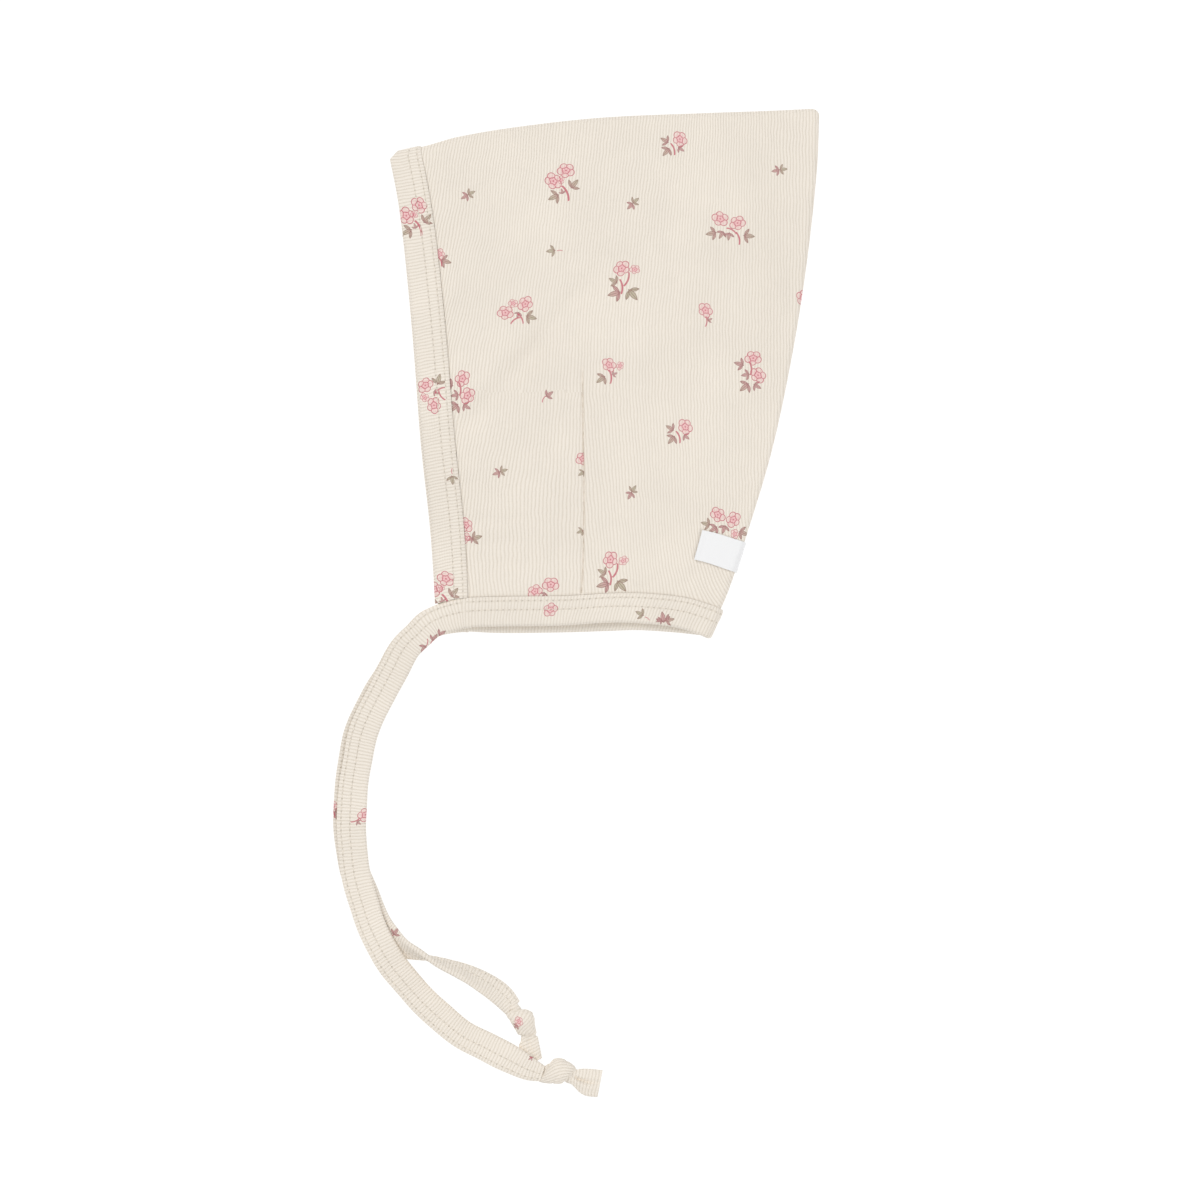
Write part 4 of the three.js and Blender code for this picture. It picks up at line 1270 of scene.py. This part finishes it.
far_knot_outline = table("along left right low high fold", [
    (-2.5, 2.4, -2.4, 1.0, 1.4, 0.0), (0.2, 2.2, -2.6, 0.4, 3.0, 0.0), (2.2, 3.0, -2.4, 0.2, 4.2, 0.0),
    (4.6, 4.5, -2.0, 0.1, 5.0, 0.0), (6.5, 4.2, -1.9, 0.1, 5.0, 0.0), (9.0, 3.2, -2.2, 0.1, 4.1, 0.0),
    (11.5, 2.8, -2.8, 0.1, 3.1, 0.2), (12.8, 3.0, -4.3, 0.1, 2.5, 0.5), (15.0, 2.4, -5.0, 0.1, 2.2, 0.5),
    (18.0, 1.5, -4.9, 0.1, 1.9, 0.4), (20.5, 0.7, -4.5, 0.1, 1.7, 0.3),
])
far_turn = dict(start=1.0, end=11.0, slant=1.2, crease=0.35, crease_depth=0.2, rib_turn=-20)
near_knot_heading = -11.0
far_knot_heading = -62.0
knot_step = 0.25
knot_sides = 64
knot_squareness = 0.8

# The turn of the strip round a knot stands proud by this, more in its middle, between edges that slant
turn_proud = 0.45
turn_swell = 0.5
turn_edge = 0.8
turn_groove = (0.45, 0.4)
turn_groove_out = 0.35
crease_half = 0.05

# Down a knot's tail runs a valley beside a ridge: height and half width, as shares
tail_valley, tail_valley_place = (1.0, 0.13), 0.05
tail_ridge, tail_ridge_place = (0.5, 0.25), -0.3


def local_frame(origin, heading):
    ahead = np.array([math.cos(math.radians(heading)), math.sin(math.radians(heading)), 0.0])
    left = np.array([-ahead[1], ahead[0], 0.0])
    return lambda x, y, z: (
        np.asarray(origin) + np.asarray(x)[..., None] * ahead + np.asarray(y)[..., None] * left
        + np.asarray(z)[..., None] * np.array([0.0, 0.0, 1.0])
    )


def knot_body(name, origin, heading, outline, wrap, chart, node):
    """A knot and its tail as one body. The turn of the strip round it stands proud between slanting edges."""
    place = local_frame(origin, heading)
    x = np.arange(outline[0]["along"], outline[-1]["along"] + knot_step / 2, knot_step)[:, None]
    around = np.linspace(0, 2 * math.pi, knot_sides + 1)[None, :]
    left, right, low, high, fold = (read(outline, column, x) for column in outline[0] if column != "along")
    cos, sin = np.cos(around), np.sin(around)
    sideways = np.sign(cos) * np.abs(cos) ** knot_squareness
    up = np.sign(sin) * np.abs(sin) ** knot_squareness
    # Depth of the slanting edges from the turn's two ends
    begin = x - wrap["start"] - wrap["slant"] * cos
    finish = wrap["end"] + wrap["slant"] * cos - x
    inside = (1 - fade(begin, 0.0, turn_edge)) * (1 - fade(finish, 0.0, turn_edge))
    share = begin / (begin + finish)
    crease = hump((wrap["crease_depth"], crease_half), share - wrap["crease"])
    proud = inside * (turn_proud + turn_swell * np.sin(math.pi * np.clip(share, 0, 1)) - crease)
    # Grooves where the turn's edges press into the strip
    for from_turn in (begin, finish):
        proud = proud - hump(turn_groove, from_turn + turn_groove_out)
    middle, half = (left + right) / 2, (left - right) / 2
    valley = hump(tail_valley, sideways - tail_valley_place)
    tail_crease = valley - hump(tail_ridge, sideways - tail_ridge_place)
    across = middle + sideways * half + proud * cos
    creased = np.where(sin > 0, fold * tail_crease * np.abs(sin), 0)
    height = low + high / 2 + up * high / 2 + proud * sin - creased
    points = place(x + 0 * across, across, np.maximum(height, floor_gap))
    ring = lengths_along(np.stack([across[len(x) // 3], height[len(x) // 3]], axis=1))
    knit = pairs(x[:, 0] - x[0, 0], ring)
    turned = np.stack(turned_back(knit[..., 0], knit[..., 1], wrap["rib_turn"]), axis=-1)
    in_turn = (inside > 0.5)[:-1, :-1]
    return finish_strip(lay_grid(name, points, knit, in_turn, turned), printed_knit, 60, node, chart)


def build_ties():
    near_tie, near_path, near_lines = build_tie(
        "near_neck_tie", "near", near_route, near_start, near_tie_chart, (), "near_tie")
    far_tie, far_path, far_lines = build_tie(
        "far_neck_tie", "far", far_route, far_start, far_tie_chart, far_tie_chart, "far_tie")
    near_sewing = sew("near_tie_stitches", near_lines)
    far_sewing = sew("far_tie_stitches", far_lines)
    near_end, far_end = near_path[-1] * (1, 1, 0), far_path[-1] * (1, 1, 0)
    near_knot = knot_body(
        "near_tied_knot", near_end, near_knot_heading, near_knot_outline, near_turn, (), "near_knot")
    far_knot = knot_body(
        "far_tied_knot", far_end, far_knot_heading, far_knot_outline, far_turn, far_knot_chart, "far_knot")


def build_bonnet():
    crown = build_crown()
    fronts, necks = front_stations(), neck_stations()
    front = sweep_strip("front_edge_strip", fronts, front_width, front_chart, "front_binding")
    neck = sweep_strip("neck_edge_strip", necks, neck_width, neck_chart, "neck_binding")
    label = build_label()
    sewing = sew("strip_stitches", stitch_lines(fronts, front_width) + stitch_lines(necks, neck_width))


build_ties()
build_bonnet()

# Floor and light
floor_level = -0.3
white = (1.0, 1.0, 1.0, 1.0)
light_aim = Vector((0.0, -0.07, 0.0))


def set_stage():
    deselect()
    bpy.ops.mesh.primitive_plane_add(size=4.0, location=(0, 0, floor_level * mm))
    floor = bpy.context.object
    floor.name = "pale_floor"
    material, tree, shader = new_material("backlit_white_board")
    where = add(tree, "TexCoord").node.outputs["Object"]
    grain = add(tree, "TexNoise", {"Vector": where, "Scale": 300.0})
    base = add(tree, "MixRGB", [grain, colour("#7E7E7E"), colour("#828282")])
    fill(tree, shader, {
        "Base Color": base, "Roughness": 0.9, "Specular IOR Level": 0.1, "Emission Color": white,
        "Emission Strength": 0.86,
    })
    floor.data.materials.append(material)

    def soft_box(name, place, size, power):
        deselect()
        bpy.ops.object.light_add(type="AREA", location=place)
        light = bpy.context.object
        light.name = name
        light.data.shape = "SQUARE"
        light.data.size = size
        light.data.energy = power
        light.rotation_euler = (light_aim - Vector(place)).to_track_quat("-Z", "Y").to_euler()

    soft_box("key_softbox", (-3.6, 3.4, 5.0), 2.8, 208.0)
    soft_box("fill_softbox", (2.2, -1.9, 2.8), 3.0, 58.0)
    world = bpy.data.worlds.new("white_room")
    world.use_nodes = True
    fill(world.node_tree, world.node_tree.nodes["Background"], {"Color": white, "Strength": 0.59})
    bpy.context.scene.world = world
    bpy.context.scene.view_settings.view_transform = "Standard"


set_stage()
